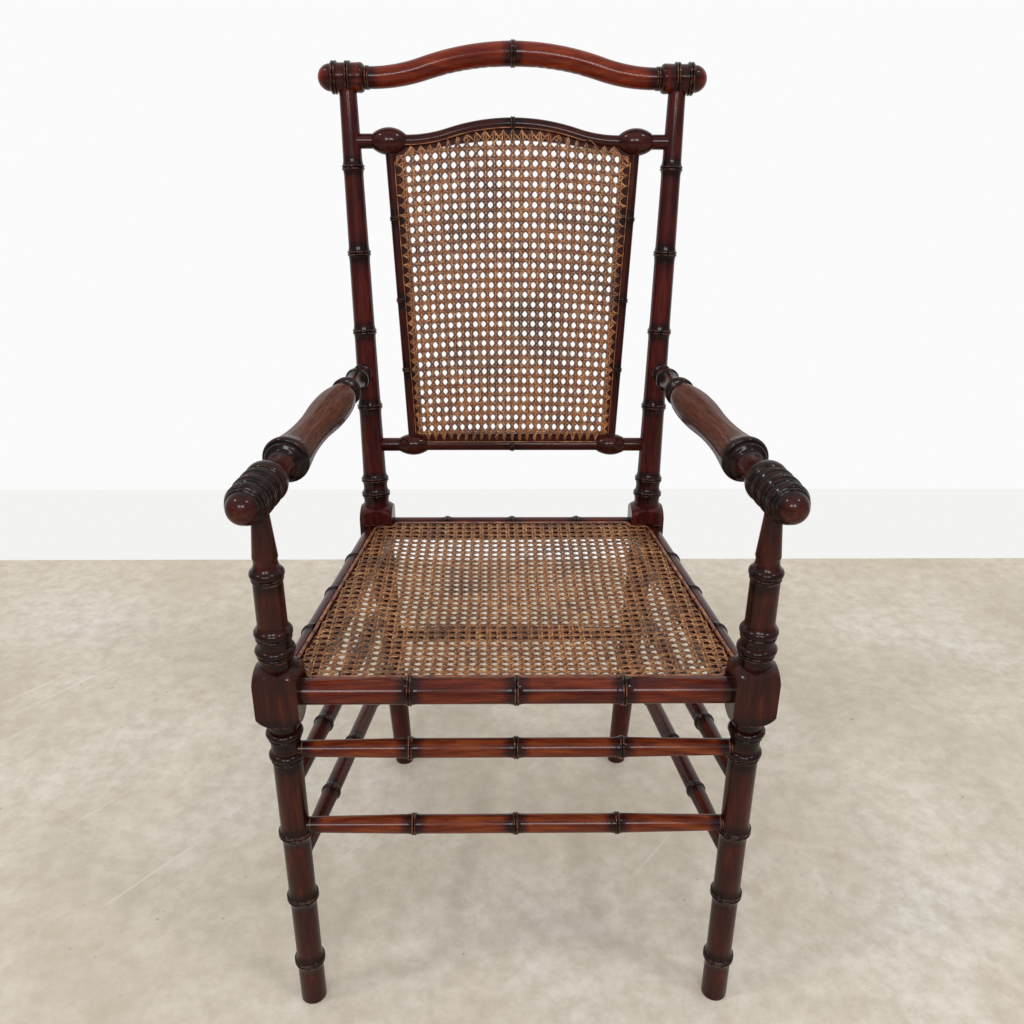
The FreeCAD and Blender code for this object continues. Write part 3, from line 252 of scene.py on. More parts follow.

# The stretchers: seven jointed rods that brace the legs, glued into sockets. They are the reddest pieces,
# with a painted orange glow in the middle of each stretch and painted shade towards the joints; the side
# and rear ones take darker tones as painted shade.
STRETCHER_TONES = ("#100302", "#2b0b05", "#571e0c", "#8a441a")
SHADED_TONES = ("#0c0202", "#1f0706", "#3a130d", "#5e2616")
STRETCHERS = {
    "upper_front_stretcher": ((-242.5, FRONT_LINE, 370.0), (242.5, FRONT_LINE, 370.0), (129.5, 242.5, 355.5)),
    "lower_front_stretcher": ((-242.5, FRONT_LINE, 266.0), (242.5, FRONT_LINE, 266.0), (129.5, 242.5, 355.5)),
    "upper_side_stretcher_left": ((-245.1, -230.3, 317.0), (-187.3, 187.0, 317.0), (113.6, 210.6, 307.7)),
    "upper_side_stretcher_right": ((245.1, -230.3, 317.0), (187.3, 187.0, 317.0), (113.6, 210.6, 307.7)),
    "lower_side_stretcher_left": ((-245.1, -230.3, 212.0), (-183.6, 195.6, 212.0), (115.8, 215.1, 314.5)),
    "lower_side_stretcher_right": ((245.1, -230.3, 212.0), (183.6, 195.6, 212.0), (115.8, 215.1, 314.5)),
    "rear_stretcher": ((-181.7, 195.1, 254.0), (181.7, 195.1, 254.0), (99.1, 181.7, 264.3)),
}
for node, (start, finish, joints) in STRETCHERS.items():
    tones, worn = (STRETCHER_TONES, 0.9) if node.endswith("front_stretcher") else (SHADED_TONES, 0.5)
    joints = dark_ends(start, finish, joints, 13.0)
    dress(node, [(start, finish, joints, ROD_LIP, 0)], tones, glow=1.2, worn=worn)

# The arms: each turned in one piece from the collar at its post to the ball at its tip, with a pad for the
# forearm whose waist is drawn in and whose top is planed to a soft ridge. The front leg's tip is glued into
# it from below. Hands have rubbed the pad's top to a duller, browner finish.
ARM_PROFILE = [                 # the distance from the post's axis, and the radius there
    (9, 8.5), (12, 9.2), (13.5, 12.2), (16, 13), (18.5, 12.2), (20, 9.8), (24, 9.2), (30, 9.5),
    (36, 10.8), (41, 13.0), (44, 15.0), (47, 15.6), (49.8, 15.1), (51.4, 13.4), (56, 12.2), (66, 10.7),
    (76, 10.5), (86, 11.8), (92.5, 14.2), (95.6, 17.0), (98.5, 18.1), (101, 17.4), (102, 16.2),
    (103, 17.5), (105.5, 18.7), (108.2, 17.8), (109.6, 15.2), (111.6, 12.8), (114.4, 12.3),
    (116.2, 13.2), (118.4, 14.7), (121, 16.1), (125, 17.7), (132, 19.6), (140, 20.8), (150, 21.6),
    (160, 22.1), (172, 22.3), (186, 22.2), (200, 21.7), (217, 20.5), (235, 19.2), (252, 18.7),
    (270, 18.7), (285, 19.2), (300, 20.1), (315, 21.6), (330, 23.4), (342, 24.8), (348, 25.2),
    (350.8, 24.7), (352.6, 23.2), (353.3, 21.0), (353.9, 19.2), (354.6, 20.2), (356.4, 20.7),
    (358.2, 19.9), (359.2, 18.0), (360.6, 15.4), (363.6, 13.4), (368, 12.3), (376, 11.8), (384, 12.3),
    (391, 14.1), (398, 17.5), (404, 20.3), (409, 21.8), (413, 22.0), (416.6, 21.2), (418.6, 19.6),
    (419.6, 18.4)]
ARM_RING = [                    # one of the barrel's three rings, each with a groove round its middle
    (-8.9, 19.4), (-7.2, 19.9), (-5.4, 19.7), (-4.6, 19.1), (-3.9, 20.5), (-2.1, 21.8), (-0.7, 21.6),
    (0.0, 21.0), (0.7, 21.6), (2.1, 21.8), (3.9, 20.7), (5.3, 19.9), (6.8, 19.3), (7.8, 18.4)]
BARREL_END = 471.0
for middle, less in ((430.4, 0.0), (448.0, 0.0), (465.4, 0.9)):
    ARM_PROFILE += [(middle + place, radius - less) for place, radius in ARM_RING
                    if middle + place < BARREL_END]
ARM_PROFILE += [(471.5, 17.6), (472.6, 18.4), (474.0, 18.5), (475.2, 17.9)]
BALL_MIDDLE, BALL_RADIUS = 474.1, 16.8
turn = np.radians(np.linspace(6, 88, 18))
ARM_PROFILE += list(zip(BALL_MIDDLE + BALL_RADIUS * np.sin(turn), BALL_RADIUS * np.cos(turn)))
ARM_AROUND = 72                 # corners round the arm
ARM_HEIGHT = 664.0
PAD_START, PAD_END = 116, 351


def smooth_profile(points, pieces):
    """A curve through (place, radius) points: cubic Hermite pieces with slopes by central differences.

    Between two points, with t from 0 to 1, it is (2t^3 - 3t^2 + 1) p + (t^3 - 2t^2 + t) m + (3t^2 - 2t^3) q
    + (t^3 - t^2) n, where m and n are the changes of p and q for one step of t."""
    points = np.array(points, float)
    change = np.vstack([points[1] - points[0], (points[2:] - points[:-2]) / 2, points[-1] - points[-2]])
    gap = np.linalg.norm(np.diff(points, axis=0), axis=1)
    reach = np.linalg.norm(change, axis=1)
    m = change[:-1] * np.minimum(1, gap / reach[:-1])[:, None]
    n = change[1:] * np.minimum(1, gap / reach[1:])[:, None]
    t = (np.arange(pieces) / pieces)[None, :, None]
    p, q, m, n = points[:-1, None], points[1:, None], m[:, None], n[:, None]
    curve = ((2 * t ** 3 - 3 * t ** 2 + 1) * p + (t ** 3 - 2 * t ** 2 + t) * m
             + (3 * t ** 2 - 2 * t ** 3) * q + (t ** 3 - t ** 2) * n)
    return np.vstack([curve.reshape(-1, 2), points[-1:]])


def chair_piece(name, mesh, material):
    """A mesh as a piece that moves with the chair, with its material."""
    mesh.materials.append(material)
    piece = bpy.data.objects.new(name, mesh)
    bpy.context.scene.collection.objects.link(piece)
    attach(piece, "root")
    return piece


def turned_arm(name, start, finish, material):
    """The arm's surface: start + s * along + r * (cos * side + sin * up), with r from the profile at s.

    On the pad's upper half r is softly capped by a ridged roof, 0.97 R / (sin + 0.38 |cos|), by joining the
    two radii as (R^-14 + roof^-14)^(-1/14)."""
    start, finish = np.array(start), np.array(finish)
    along = (finish - start) / np.linalg.norm(finish - start)
    up = np.array((0.0, 0.0, 1.0))
    side = np.cross(up, along)
    corner = np.arange(ARM_AROUND)
    around = 2 * np.pi * corner / ARM_AROUND
    place, radius = smooth_profile(ARM_PROFILE, 4).T
    radius = radius[:, None]
    roof = 0.97 * radius / np.maximum(np.sin(around) + 0.38 * np.abs(np.cos(around)), 0.05)
    planed = (radius ** -14.0 + roof ** -14.0) ** (-1 / 14)
    share = np.clip((place - PAD_START) / 22, 0, 1) * np.clip((PAD_END - place) / 20, 0, 1)
    share = (share ** 2 * (3 - 2 * share))[:, None]
    radius = radius + (planed - radius) * share
    points = (start + place[:, None, None] * along
              + radius[:, :, None] * (np.cos(around)[:, None] * side + np.sin(around)[:, None] * up))
    ring = np.arange(len(place) - 1)[:, None] * ARM_AROUND
    after = (corner + 1) % ARM_AROUND
    quads = np.stack([ring + corner, ring + after, ring + ARM_AROUND + after, ring + ARM_AROUND + corner], -1)
    faces = quads.reshape(-1, 4).tolist()
    faces += [corner[::-1].tolist(), ((len(points) - 1) * ARM_AROUND + corner).tolist()]
    mesh = bpy.data.meshes.new(name)
    mesh.from_pydata(points.reshape(-1, 3) * MM, [], faces)
    mesh.polygons.foreach_set("use_smooth", np.ones(len(faces), bool))
    return chair_piece(name, mesh, material)


ARM_GROOVES = (12.0, 51.4, 102.0, 112.0, 353.8, 419.9, 438.3, 455.9, 471.2)
ARM_TONES = ("#0c0203", "#1f0707", "#3d150f", "#69301e")
for side, sign in (("left", -1), ("right", 1)):
    start = (sign * 201.3, 208.14, ARM_HEIGHT)
    finish = (sign * 248.5, FRONT_LINE, ARM_HEIGHT)
    material = polished_mahogany("arm_" + side, [(start, finish, ARM_GROOVES, LEG_LIP, 0)], ARM_TONES,
                                 glow=0.9, worn=0.15, rubbed=(122.0, 352.0, ARM_HEIGHT + 4))
    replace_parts(turned_arm("turned_arm_" + side, start, finish, material), "arm_" + side)

# The crest rail: a bent rod with one joint at its middle and a turned knob on each end, let down on to the
# tips of the posts. A painted red glow stands for the light on its back, and painted shade makes it black
# round the knobs.
CREST_HALF = 246.5
CREST_JOINTS = tuple(CREST_HALF + x for x in (-225.5, -208.4, -184.2, 0.0, 184.2, 208.4, 225.5))
CREST_TONES = ("#150303", "#380d07", "#641c0c", "#8f3c18")
dress("crest_rail", [((-CREST_HALF, 259.5, 1029.4), (CREST_HALF, 259.5, 1029.4), CREST_JOINTS, ROD_LIP, 0)],
      CREST_TONES, glow=1.1, worn=0.7)

# The frame of the back panel: a wavy top rail, a straight bottom rail and two stiles, thin jointed rods
# with a flat ledge inside that the cane lies on. Dark, with little painted glow, and painted shade by the
# joints.
PANEL_TONES = ("#0c0202", "#1e0605", "#38100a", "#5c2413")
BACK_FRAME = {
    "back_top_rail": ((-200.0, 249.0, 954.9), (200.0, 249.0, 954.9), (200.0,)),
    "back_bottom_rail": ((-200.0, 193.7, 561.5), (200.0, 193.7, 561.5), (200.0,)),
    "back_stile_left": ((-137.3, 194.6, 567.9), (-157.5, 247.8, 946.3), (98.3, 191.3, 295.9)),
    "back_stile_right": ((137.3, 194.6, 567.9), (157.5, 247.8, 946.3), (98.3, 191.3, 295.9)),
}
for node, (start, finish, joints) in BACK_FRAME.items():
    dress(node, [(start, finish, joints, ROD_LIP, 0)], PANEL_TONES, glow=0.6)

# The seat's cane: split rattan woven by hand in the six-way pattern. Pairs of strands run front to back
# and side to side, and two diagonals go over and under them, which leaves eight-sided holes. The strands
# are about 2 mm wide, come up through holes in the rails, and have sagged under years of sitting.
CANE_THICKNESS = 0.8
SEAT_WIDTHS = (2.1, 2.1, 1.9, 1.9)
PAIR_REACH = 1.65               # from the middle of a pair to each of its strands, front to back
CROSS_REACH = 1.5               # the same for the pairs that run across


def strand_rings(path, normal, width, thickness):
    """The corners of a strand along a path: at each point p, p + a * side + b * out, for six pairs (a, b).

    side is the normal crossed with the path's direction, and out is that direction crossed with side, so
    the strand lies flat with a rounded face. Gives points by ring and the length run at each ring."""
    tangent = np.gradient(path, axis=0)
    tangent /= np.linalg.norm(tangent, axis=1, keepdims=True)
    side = np.cross(normal, tangent)
    side /= np.linalg.norm(side, axis=1, keepdims=True)
    out = np.cross(tangent, side)
    half = width / 2
    section = np.array([(-half, -0.1 * thickness), (-0.82 * half, -thickness / 2),
                        (0.82 * half, -thickness / 2), (half, -0.1 * thickness),
                        (0.52 * half, thickness / 2), (-0.52 * half, thickness / 2)])
    points = (path[:, None, :] + section[None, :, :1] * side[:, None, :]
              + section[None, :, 1:] * out[:, None, :])
    steps = np.linalg.norm(np.diff(path, axis=0), axis=1)
    return points, np.concatenate(([0.0], np.cumsum(steps)))


def strands_object(name, paths, normal, width, thickness, seed, material):
    """One mesh of many strands. Each strand's quads join ring to ring, and a six-sided face closes each end.

    The UV map holds the share across the strand and the length along it in metres, and the attribute
    tone holds one random number for each strand."""
    random = np.random.default_rng(seed)
    points, faces, maps, tones, base = [], [], [], [], 0
    corner = np.arange(6)
    across = np.array([0.0, 0.2, 0.8, 1.0, 0.72, 0.28])
    for path in paths:
        rings, run = strand_rings(path * MM, normal, width * MM, thickness * MM)
        count = len(rings)
        here = base + 6 * np.arange(count - 1)[:, None] + corner
        after = base + 6 * np.arange(count - 1)[:, None] + (corner + 1) % 6
        quads = np.stack([here, here + 6, after + 6, after], axis=-1).reshape(-1, 4)
        shift = random.uniform(0, 5)
        u = np.broadcast_to(across, (count - 1, 6))
        u_next = np.broadcast_to(np.roll(across, -1), (count - 1, 6))
        v = np.broadcast_to(run[:-1, None] + shift, (count - 1, 6))
        v_next = np.broadcast_to(run[1:, None] + shift, (count - 1, 6))
        corners = np.stack([np.stack([u, v], -1), np.stack([u, v_next], -1), np.stack([u_next, v_next], -1),
                            np.stack([u_next, v], -1)], axis=2).reshape(-1, 2)
        ends = [(base + corner).tolist(), (base + 6 * (count - 1) + corner[::-1]).tolist()]
        points.append(rings.reshape(-1, 3))
        faces += quads.tolist() + ends
        maps += [corners, np.stack([across, np.full(6, shift)], -1),
                 np.stack([across[::-1], np.full(6, shift + run[-1])], -1)]
        tones.append(np.full(6 * count, random.uniform(0, 1)))
        base += 6 * count
    mesh = bpy.data.meshes.new(name)
    mesh.from_pydata(np.concatenate(points), [], faces)
    layer = mesh.uv_layers.new(name="along")
    layer.data.foreach_set("uv", np.concatenate(maps).astype(np.float32).ravel())
    tone = mesh.attributes.new("tone", "FLOAT", "POINT")
    tone.data.foreach_set("value", np.concatenate(tones).astype(np.float32))
    mesh.polygons.foreach_set("use_smooth", np.ones(len(faces), bool))
    mesh.update()
    return chair_piece(name, mesh, material)


def lay_cane(node, names, sets, normal, widths, seed, material):
    """The four sets of a weave as four pieces, which together stand for one CAD node."""
    for name, paths, width in zip(names, sets, widths):
        piece = strands_object(node + "_" + name, paths, normal, width, CANE_THICKNESS, seed,
                               material)
        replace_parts(piece, node)
        seed += 1


def lattice_stops(low, high, reach):
    """Places along a strand, four to a cell: at both strands of a crossing pair, and at 0.4 and 0.6."""
    cells = np.arange(math.floor(low) - 1, math.ceil(high) + 1)
    places = (cells[:, None] + np.array([-reach, reach, 0.4, 0.6])).ravel()
    places = places[(places > low) & (places < high)]
    return np.concatenate(([low], places, [high]))


def pair_height(places, reach, hand):
    """How high a strand of a pair stands: 0.45 of its thickness over the first strand of a crossing pair and
    as far under the second, and the other way for hand -1, falling straight to nothing a reach away."""
    offset = places - np.round(places)
    first = np.clip(1 - np.abs(offset + reach) / reach, 0, 1)
    second = np.clip(1 - np.abs(offset - reach) / reach, 0, 1)
    return hand * 0.45 * CANE_THICKNESS * (first - second)


def diagonal_height(places, hand):
    """How high a diagonal stands: 0.9 of its thickness over the pairs at whole places, and as far under
    them half-way between, by hand * 1.8 cos(2 pi place) cut off at -1 and 1."""
    return hand * 0.9 * CANE_THICKNESS * np.clip(1.8 * np.cos(2 * np.pi * places), -1, 1)


def kept_run(u, v, inside):
    """The part of a strand from the first to the last of its points that lie inside the woven field."""
    found = np.flatnonzero(inside(u, v))
    return slice(found[0], found[-1] + 1) if len(found) > 3 else None


def dipped(path):
    """The same path with its ends 1.2 mm lower under the binder, by 1.2 (1 - distance / 4 mm) squared."""
    steps = np.linalg.norm(np.diff(path, axis=0), axis=1)
    run = np.concatenate(([0.0], np.cumsum(steps)))
    near = np.minimum(run, run[-1] - run)
    fall = np.clip(1 - near / 4.0, 0, 1) ** 2
    return path - 1.2 * fall[:, None] * np.array((0, 0, 1))


def weave(place, inside, ended, columns, rows, pair, cross):
    """The four sets of a six-way weave: place(u, v, h) gives points from lattice places and heights.

    Pairs stand at whole u and at whole v, and diagonals at u - v and u + v a half more than whole. The
    function ended lets a strand's two ends into the wood."""
    along_u, along_v, falling, rising = [], [], [], []
    low_u, high_u = columns[0] - 0.9, columns[-1] + 0.9
    low_v, high_v = rows[0] - 1.6, rows[-1] + 1.6
    for column in columns:
        for reach, hand in ((-pair, 1), (pair, -1)):
            v = lattice_stops(low_v, high_v, cross)
            u = np.full_like(v, column + reach)
            kept = kept_run(u, v, inside)
            if kept:
                h = pair_height(v, cross, hand)
                along_v.append(ended(place(u, v, h)[kept]))
    for row in rows:
        for reach, hand in ((-cross, -1), (cross, 1)):
            u = lattice_stops(low_u, high_u, pair)
            v = np.full_like(u, row + reach)
            kept = kept_run(u, v, inside)
            if kept:
                h = pair_height(u, pair, hand)
                along_u.append(ended(place(u, v, h)[kept]))
    stops = np.arange(math.floor(low_u) * 6, math.ceil(high_u) * 6 + 1) / 6
    for step in range(math.floor(low_u - high_v) - 1, math.ceil(high_u - low_v) + 1):
        v = stops - step - 0.5
        kept = kept_run(stops, v, inside)
        if kept:
            rising.append(ended(place(stops, v, diagonal_height(stops, 1))[kept]))
    for step in range(math.floor(low_u + low_v) - 1, math.ceil(high_u + high_v) + 1):
        v = step + 0.5 - stops
        kept = kept_run(stops, v, inside)
        if kept:
            falling.append(ended(place(stops, v, diagonal_height(stops, -1))[kept]))
    return along_v, along_u, rising, falling


CANE_DIRT = "#2c160e"
CANE_EDGE_SHADE = "#2a140c"


def aged_cane(name, stops, dirt, patch):
    """Split rattan, its glossy outer skin up: satin, orange brown, with fine lengthwise lines, and painted
    shade that darkens both edges of every strand.

    Old dirt lies in patches of the given size."""
    material, tree = blank_material(name)
    along = add(tree, "ShaderNodeUVMap", {}, uv_map="along")
    tone = add(tree, "ShaderNodeAttribute", {}, out="Fac", attribute_name="tone")
    place = add(tree, "ShaderNodeTexCoord", {}, out="Object")
    # Fibres an eighth of the width across and 25 mm long, and lengths of 12 mm that differ in colour
    fine = add(tree, "ShaderNodeMapping", {"Vector": along, "Scale": (8.0, 40.0, 1)})
    fine = add(tree, "ShaderNodeTexNoise", {"Vector": fine, "Scale": 1.0, "Detail": 3.0, "Roughness": 0.7})
    lengths = add(tree, "ShaderNodeMapping", {"Vector": along, "Scale": (0.6, 1 / (12 * MM), 1)})
    lengths = add(tree, "ShaderNodeTexNoise", {"Vector": lengths, "Scale": 1.0, "Detail": 2.0})
    shade = add(tree, "ShaderNodeMix", {0: 0.5, 2: fine, 3: lengths}, data_type="FLOAT")
    shade = add(tree, "ShaderNodeMapRange", {"Value": shade, "From Min": 0.36, "From Max": 0.62,
                                             "To Min": 0.0, "To Max": 0.8})
    tone = add(tree, "ShaderNodeMath", {0: tone, 1: 0.25}, operation="MULTIPLY")
    shade = add(tree, "ShaderNodeMath", {0: shade, 1: tone}, operation="ADD")
    colour = ramp(tree, shade, stops)
    stain = add(tree, "ShaderNodeTexNoise", {"Vector": place, "Scale": 1 / (patch * MM), "Detail": 3.0})
    colour = laid_over(tree, colour, stain, 0.45, 0.7, dirt, CANE_DIRT)
    # Painted shade: both edges of every strand are darkened across its width
    middle = add(tree, "ShaderNodeSeparateXYZ", {0: along}, out="X")
    middle = add(tree, "ShaderNodeMath", {0: middle, 1: 0.5}, operation="SUBTRACT")
    middle = add(tree, "ShaderNodeMath", {0: middle}, operation="ABSOLUTE")
    colour = laid_over(tree, colour, middle, 0.24, 0.46, 0.85, CANE_EDGE_SHADE)
    bump = add(tree, "ShaderNodeBump", {"Strength": 0.25, "Distance": 0.0001, "Height": fine}, out="Normal")
    shader = add(tree, "ShaderNodeBsdfPrincipled", {
        "Base Color": colour, "Roughness": 0.42, "IOR": 1.5, "Coat Weight": 0.15, "Coat Roughness": 0.25,
        "Normal": bump})
    add(tree, "ShaderNodeOutputMaterial", {"Surface": shader})
    return material


SEAT_TOP = 452.15               # the middle of the weave's thickness where it lies on the ledges
SEAT_FIRST_ROW = 11.5           # from the front legs' line to the front rail's row of holes
SEAT_ROW = 11.758
SEAT_COLUMN_FRONT = 11.75
SEAT_COLUMN_REAR = 12.2
SEAT_SAG = 8.5
SEAT_REAR_ROW = 399.5
FRONT_BLOCK = (219.0, 26.5)     # how far across and how deep a front block reaches into the seat
REAR_BLOCK = (165.5, 386.0)


def seat_sag(x, depth):
    """How far the seat hangs: 8.5 mm, times four shares that fall to nothing at the edges.

    The front share is 1 - e^(-(depth - 14) / 55), and the sides' is the same over 45 mm. The rear share
    steps down to 0.2 near a depth of 318, by 1 / (1 + e^((depth - 318 + 0.12 x) / 15)). The last one, at the
    rear edge, is straight."""
    half = 238.5 - 0.128 * depth
    front = 1 - np.exp(-np.clip(depth - 14, 0, None) / 55)
    rear = 0.2 + 0.8 / (1 + np.exp((depth - 318 + 0.12 * x) / 15))
    sides = 1 - np.exp(-np.clip(half - 28 - np.abs(x), 0, None) / 45)
    edge = np.clip((384 - depth) / 14, 0, 1)
    return SEAT_SAG * front * rear * sides * edge


def on_seat(u, v, h):
    """Lattice places to points: x = (u + 1/2) * pitch, depth = first row + v * pitch, height less the sag."""
    depth = SEAT_FIRST_ROW + v * SEAT_ROW
    pitch = SEAT_COLUMN_FRONT + (SEAT_COLUMN_REAR - SEAT_COLUMN_FRONT) * depth / 400
    x = (u + 0.5) * pitch
    x = x + 0.5 * np.sin(depth / 23 + 0.11 * u) * np.clip((200 - np.abs(x)) / 60, 0, 1)
    return np.stack([x, depth + FRONT_LINE, SEAT_TOP + h - seat_sag(x, depth)], axis=-1)


def in_seat(u, v):
    """Inside the rows of holes, front, rear and on the slanting sides, and clear of the four blocks."""
    x, y = on_seat(u, v, 0).T[:2]
    depth = y - FRONT_LINE
    x = np.abs(x)
    sides = x < 238.4 - 0.1279 * depth
    front_block = (depth > FRONT_BLOCK[1]) | (x < FRONT_BLOCK[0])
    rear_block = (depth < REAR_BLOCK[1]) | (x < REAR_BLOCK[0])
    return (depth > SEAT_FIRST_ROW - 0.1) & (depth < SEAT_REAR_ROW + 0.1) & sides & front_block & rear_block


SEAT_STOPS = [(0.05, "#2c1307"), (0.32, "#673614"), (0.62, "#a5652c"), (0.95, "#dfad74")]
seat_material = aged_cane("aged_cane_seat", SEAT_STOPS, 0.55, 60)
seat_sets = weave(on_seat, in_seat, dipped, range(-20, 20), range(1, 33),
                  PAIR_REACH / 12.0, CROSS_REACH / SEAT_ROW)
lay_cane("seat_cane", ("lengthwise", "crosswise", "diagonal_right", "diagonal_left"), seat_sets, (0, 0, 1),
         SEAT_WIDTHS, 0, seat_material)

# The seat's binder: a wide flat strip of rattan laid over the rows of holes all round, and held down by
# short loops of fine cane that come up through every second hole.
BINDER_LEFT = ((-219.2, SEAT_FIRST_ROW), (-219.2, 26.3), (-238.1, 26.3), (-191.3, 385.7), (-165.5, 385.7),
               (-165.5, SEAT_REAR_ROW))
BINDER_HEIGHT = 453.4
BINDER_STOPS = [(0.05, "#3a1a0f"), (0.4, "#6b3720"), (0.7, "#94552f"), (0.95, "#bb8055")]
LOOP_SPACING = 24.2             # two holes


def rounded_path(corners, radius, height):
    """A closed path of straight runs with rounded corners. Each corner c is a curve from c + a to c + b,
    p = (1-t)^2 (c+a) + 2t(1-t) c + t^2 (c+b), with a and b of length radius along its two runs."""
    corners = np.array(corners, float)
    before = np.roll(corners, 1, axis=0) - corners
    after = np.roll(corners, -1, axis=0) - corners
    before_length = np.linalg.norm(before, axis=1, keepdims=True)
    after_length = np.linalg.norm(after, axis=1, keepdims=True)
    before = before / before_length * np.minimum(radius, before_length * 0.45)
    after = after / after_length * np.minimum(radius, after_length * 0.45)
    t = np.linspace(0, 1, 6)[None, :, None]
    turns = ((1 - t) ** 2 * (corners + before)[:, None] + 2 * t * (1 - t) * corners[:, None]
             + t ** 2 * (corners + after)[:, None])
    flat = turns.reshape(-1, 2)
    return np.column_stack([flat[:, 0], flat[:, 1] + FRONT_LINE, np.full(len(flat), height)])


def filled(path, step):
    """The path with points added so that none of its steps is longer than step."""
    lengths = np.linalg.norm(np.diff(path, axis=0), axis=1)
    run = np.concatenate(([0.0], np.cumsum(lengths)))
    stops = np.unique(np.concatenate([run, np.arange(0, run[-1], step)]))
    return np.column_stack([np.interp(stops, run, path[:, axis]) for axis in range(3)])


outline = list(BINDER_LEFT) + [(-x, y) for x, y in reversed(BINDER_LEFT)]
binder_path = rounded_path(outline, 6.0, BINDER_HEIGHT)
binder_path = filled(np.vstack([binder_path, binder_path[:1]]), 6.0)
binder_material = aged_cane("aged_cane_binder", BINDER_STOPS, 0.35, 45)
binder = strands_object("seat_binder_strip", [binder_path], (0, 0, 1), 5.0, 1.1, 11,
                        binder_material)
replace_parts(binder, "seat_binder")


def loops_over(path, spacing):
    """Short bridges over a strip: at each stop p, p + a * side + (0, 0, b), for five pairs (a, b)."""
    run = np.concatenate(([0.0], np.cumsum(np.linalg.norm(np.diff(path, axis=0), axis=1))))
    stops = np.arange(spacing / 2, run[-1], spacing)
    at = np.column_stack([np.interp(stops, run, path[:, axis]) for axis in range(3)])
    ahead = np.column_stack([np.interp(stops + 1.0, run, path[:, axis]) for axis in range(3)])
    side = np.cross((0, 0, 1), ahead - at)
    side /= np.linalg.norm(side, axis=1, keepdims=True)
    arch = np.array([(-3.2, -1.6), (-2.9, 0.2), (0.0, 0.8), (2.9, 0.2), (3.2, -1.6)])
    return at[:, None, :] + arch[None, :, :1] * side[:, None, :] + arch[None, :, 1:] * np.array((0, 0, 1))


strands_object("seat_binder_loops", loops_over(binder_path, LOOP_SPACING), (0.3, 0.95, 0.05), 1.7, 0.6, 12,
               binder_material)

# The back's cane: the same six-way weave on the leaning frame of the back. Its columns fan out upwards
# and its rows bow with the top rail; the strands run over the ledges and their holes, up to the rods.
RAKE = math.radians(8.0)
BACK_NORMAL = (0.0, -math.cos(RAKE), math.sin(RAKE))
BACK_WIDTHS = (2.4, 2.3, 2.3, 2.3)
LOW_ROW = 118.4                 # the bottom rail's row of holes, up the back from the posts' bend
HOLE_FACE = 4.9                 # how far out of the posts' plane the holes open
TOP_HALF = 136.0                # half the top rail's wave, its rise, and where its ends lie
TOP_RISE = 21.0
TOP_ENDS = 493.9


def lean(across, up, out):
    """A place on the back, from the posts' bend: up * (sin, cos) + out * (-cos, sin) of the rake."""
    y = BEND_Y + up * math.sin(RAKE) - out * math.cos(RAKE)
    z = BEND_Z + up * math.cos(RAKE) + out * math.sin(RAKE)
    return np.stack([across, y, z], axis=-1)


def on_back(u, v, h):
    """Lattice places to points: across = u * a pitch that grows upwards, up = 12.74 mm a row less the row's
    bow, then up the back, which leans 8 degrees, and h out of it."""
    up = 127.9 + 12.74 * v - (2.5 + 0.14 * v) * (u / 10.5) ** 2
    across = u * (10.55 + 1.3 * (up - 114.5) / 402.5)
    return lean(across, up, 5.6 + h)


def top_line(across):
    """The height of the top rail's row of holes: a crown with an arc curved the other way on each side.

    The arcs meet at 0.6 of the half width. Their radii add up to half / sin(2 atan(rise / half)), and the
    crown has 0.6 of that."""
    reach = np.abs(across)
    radii = TOP_HALF / math.sin(2 * math.atan(TOP_RISE / TOP_HALF))
    low, high = radii * 0.4, radii * 0.6
    crown = TOP_RISE - high + np.sqrt(np.clip(high ** 2 - reach ** 2, 0, None))
    foot = low - np.sqrt(np.clip(low ** 2 - np.clip(TOP_HALF - reach, 0, None) ** 2, 0, None))
    return TOP_ENDS + np.where(reach <= TOP_HALF * 0.6, crown, foot)


def stile_line(up):
    """How far out a stile's row of holes is at a height: 127.5 mm at 107.5, and 21 mm more in 397.3."""
    return 127.5 + 21.0 * (up - 107.5) / 397.3


def in_back(u, v):
    """Inside the four rows of holes and clear of the bulbs at the corners."""
    across, y, z = on_back(u, v, 0).T
    up = (y - BEND_Y) * math.sin(RAKE) + (z - BEND_Z) * math.cos(RAKE)
    across = np.abs(across)
    upper_bulb = (across < 137.0) | (up < 488.0)
    lower_bulb = (across < 119.0) | (up > 121.5)
    return ((across < stile_line(up) + 0.8) & (up > LOW_ROW - 0.4) & (up < top_line(across) + 0.4)
            & upper_bulb & lower_bulb)


def hole_rows(above, below, aside, out, out_aside):
    """The holes of the top rail, the bottom rail and the two stiles, each row moved away from the middle."""
    step = np.arange(-11, 12)
    rise = 124.6 + 12.55 * np.arange(29)
    edge = stile_line(rise) + aside
    return [lean(11.85 * step, top_line(11.85 * step) + above, np.full(23, out)),
            lean(10.55 * step, np.full(23, LOW_ROW - below), np.full(23, out)),
            lean(edge, rise, np.full(29, out_aside)), lean(-edge, rise, np.full(29, out_aside))]


back_rows = hole_rows(0.0, 0.0, 0.0, HOLE_FACE, HOLE_FACE)
strand_ends = np.concatenate(hole_rows(4.4, 4.5, 4.2, 5.9, 5.7))


def holed(path):
    """The path with each end carried on over the holes to the rod, if that is within 15 mm, and into it."""
    ends = []
    for end in (path[0], path[-1]):
        gap = np.linalg.norm(strand_ends - end, axis=1)
        hole = strand_ends[gap.argmin()] if gap.min() < 15.0 else end
        path = path[np.linalg.norm(path - hole, axis=1) > 2.5]
        ends.append(hole)
    down = 3.5 * np.array(BACK_NORMAL)
    return np.vstack([ends[0] - down, ends[0], path, ends[1], ends[1] - down])


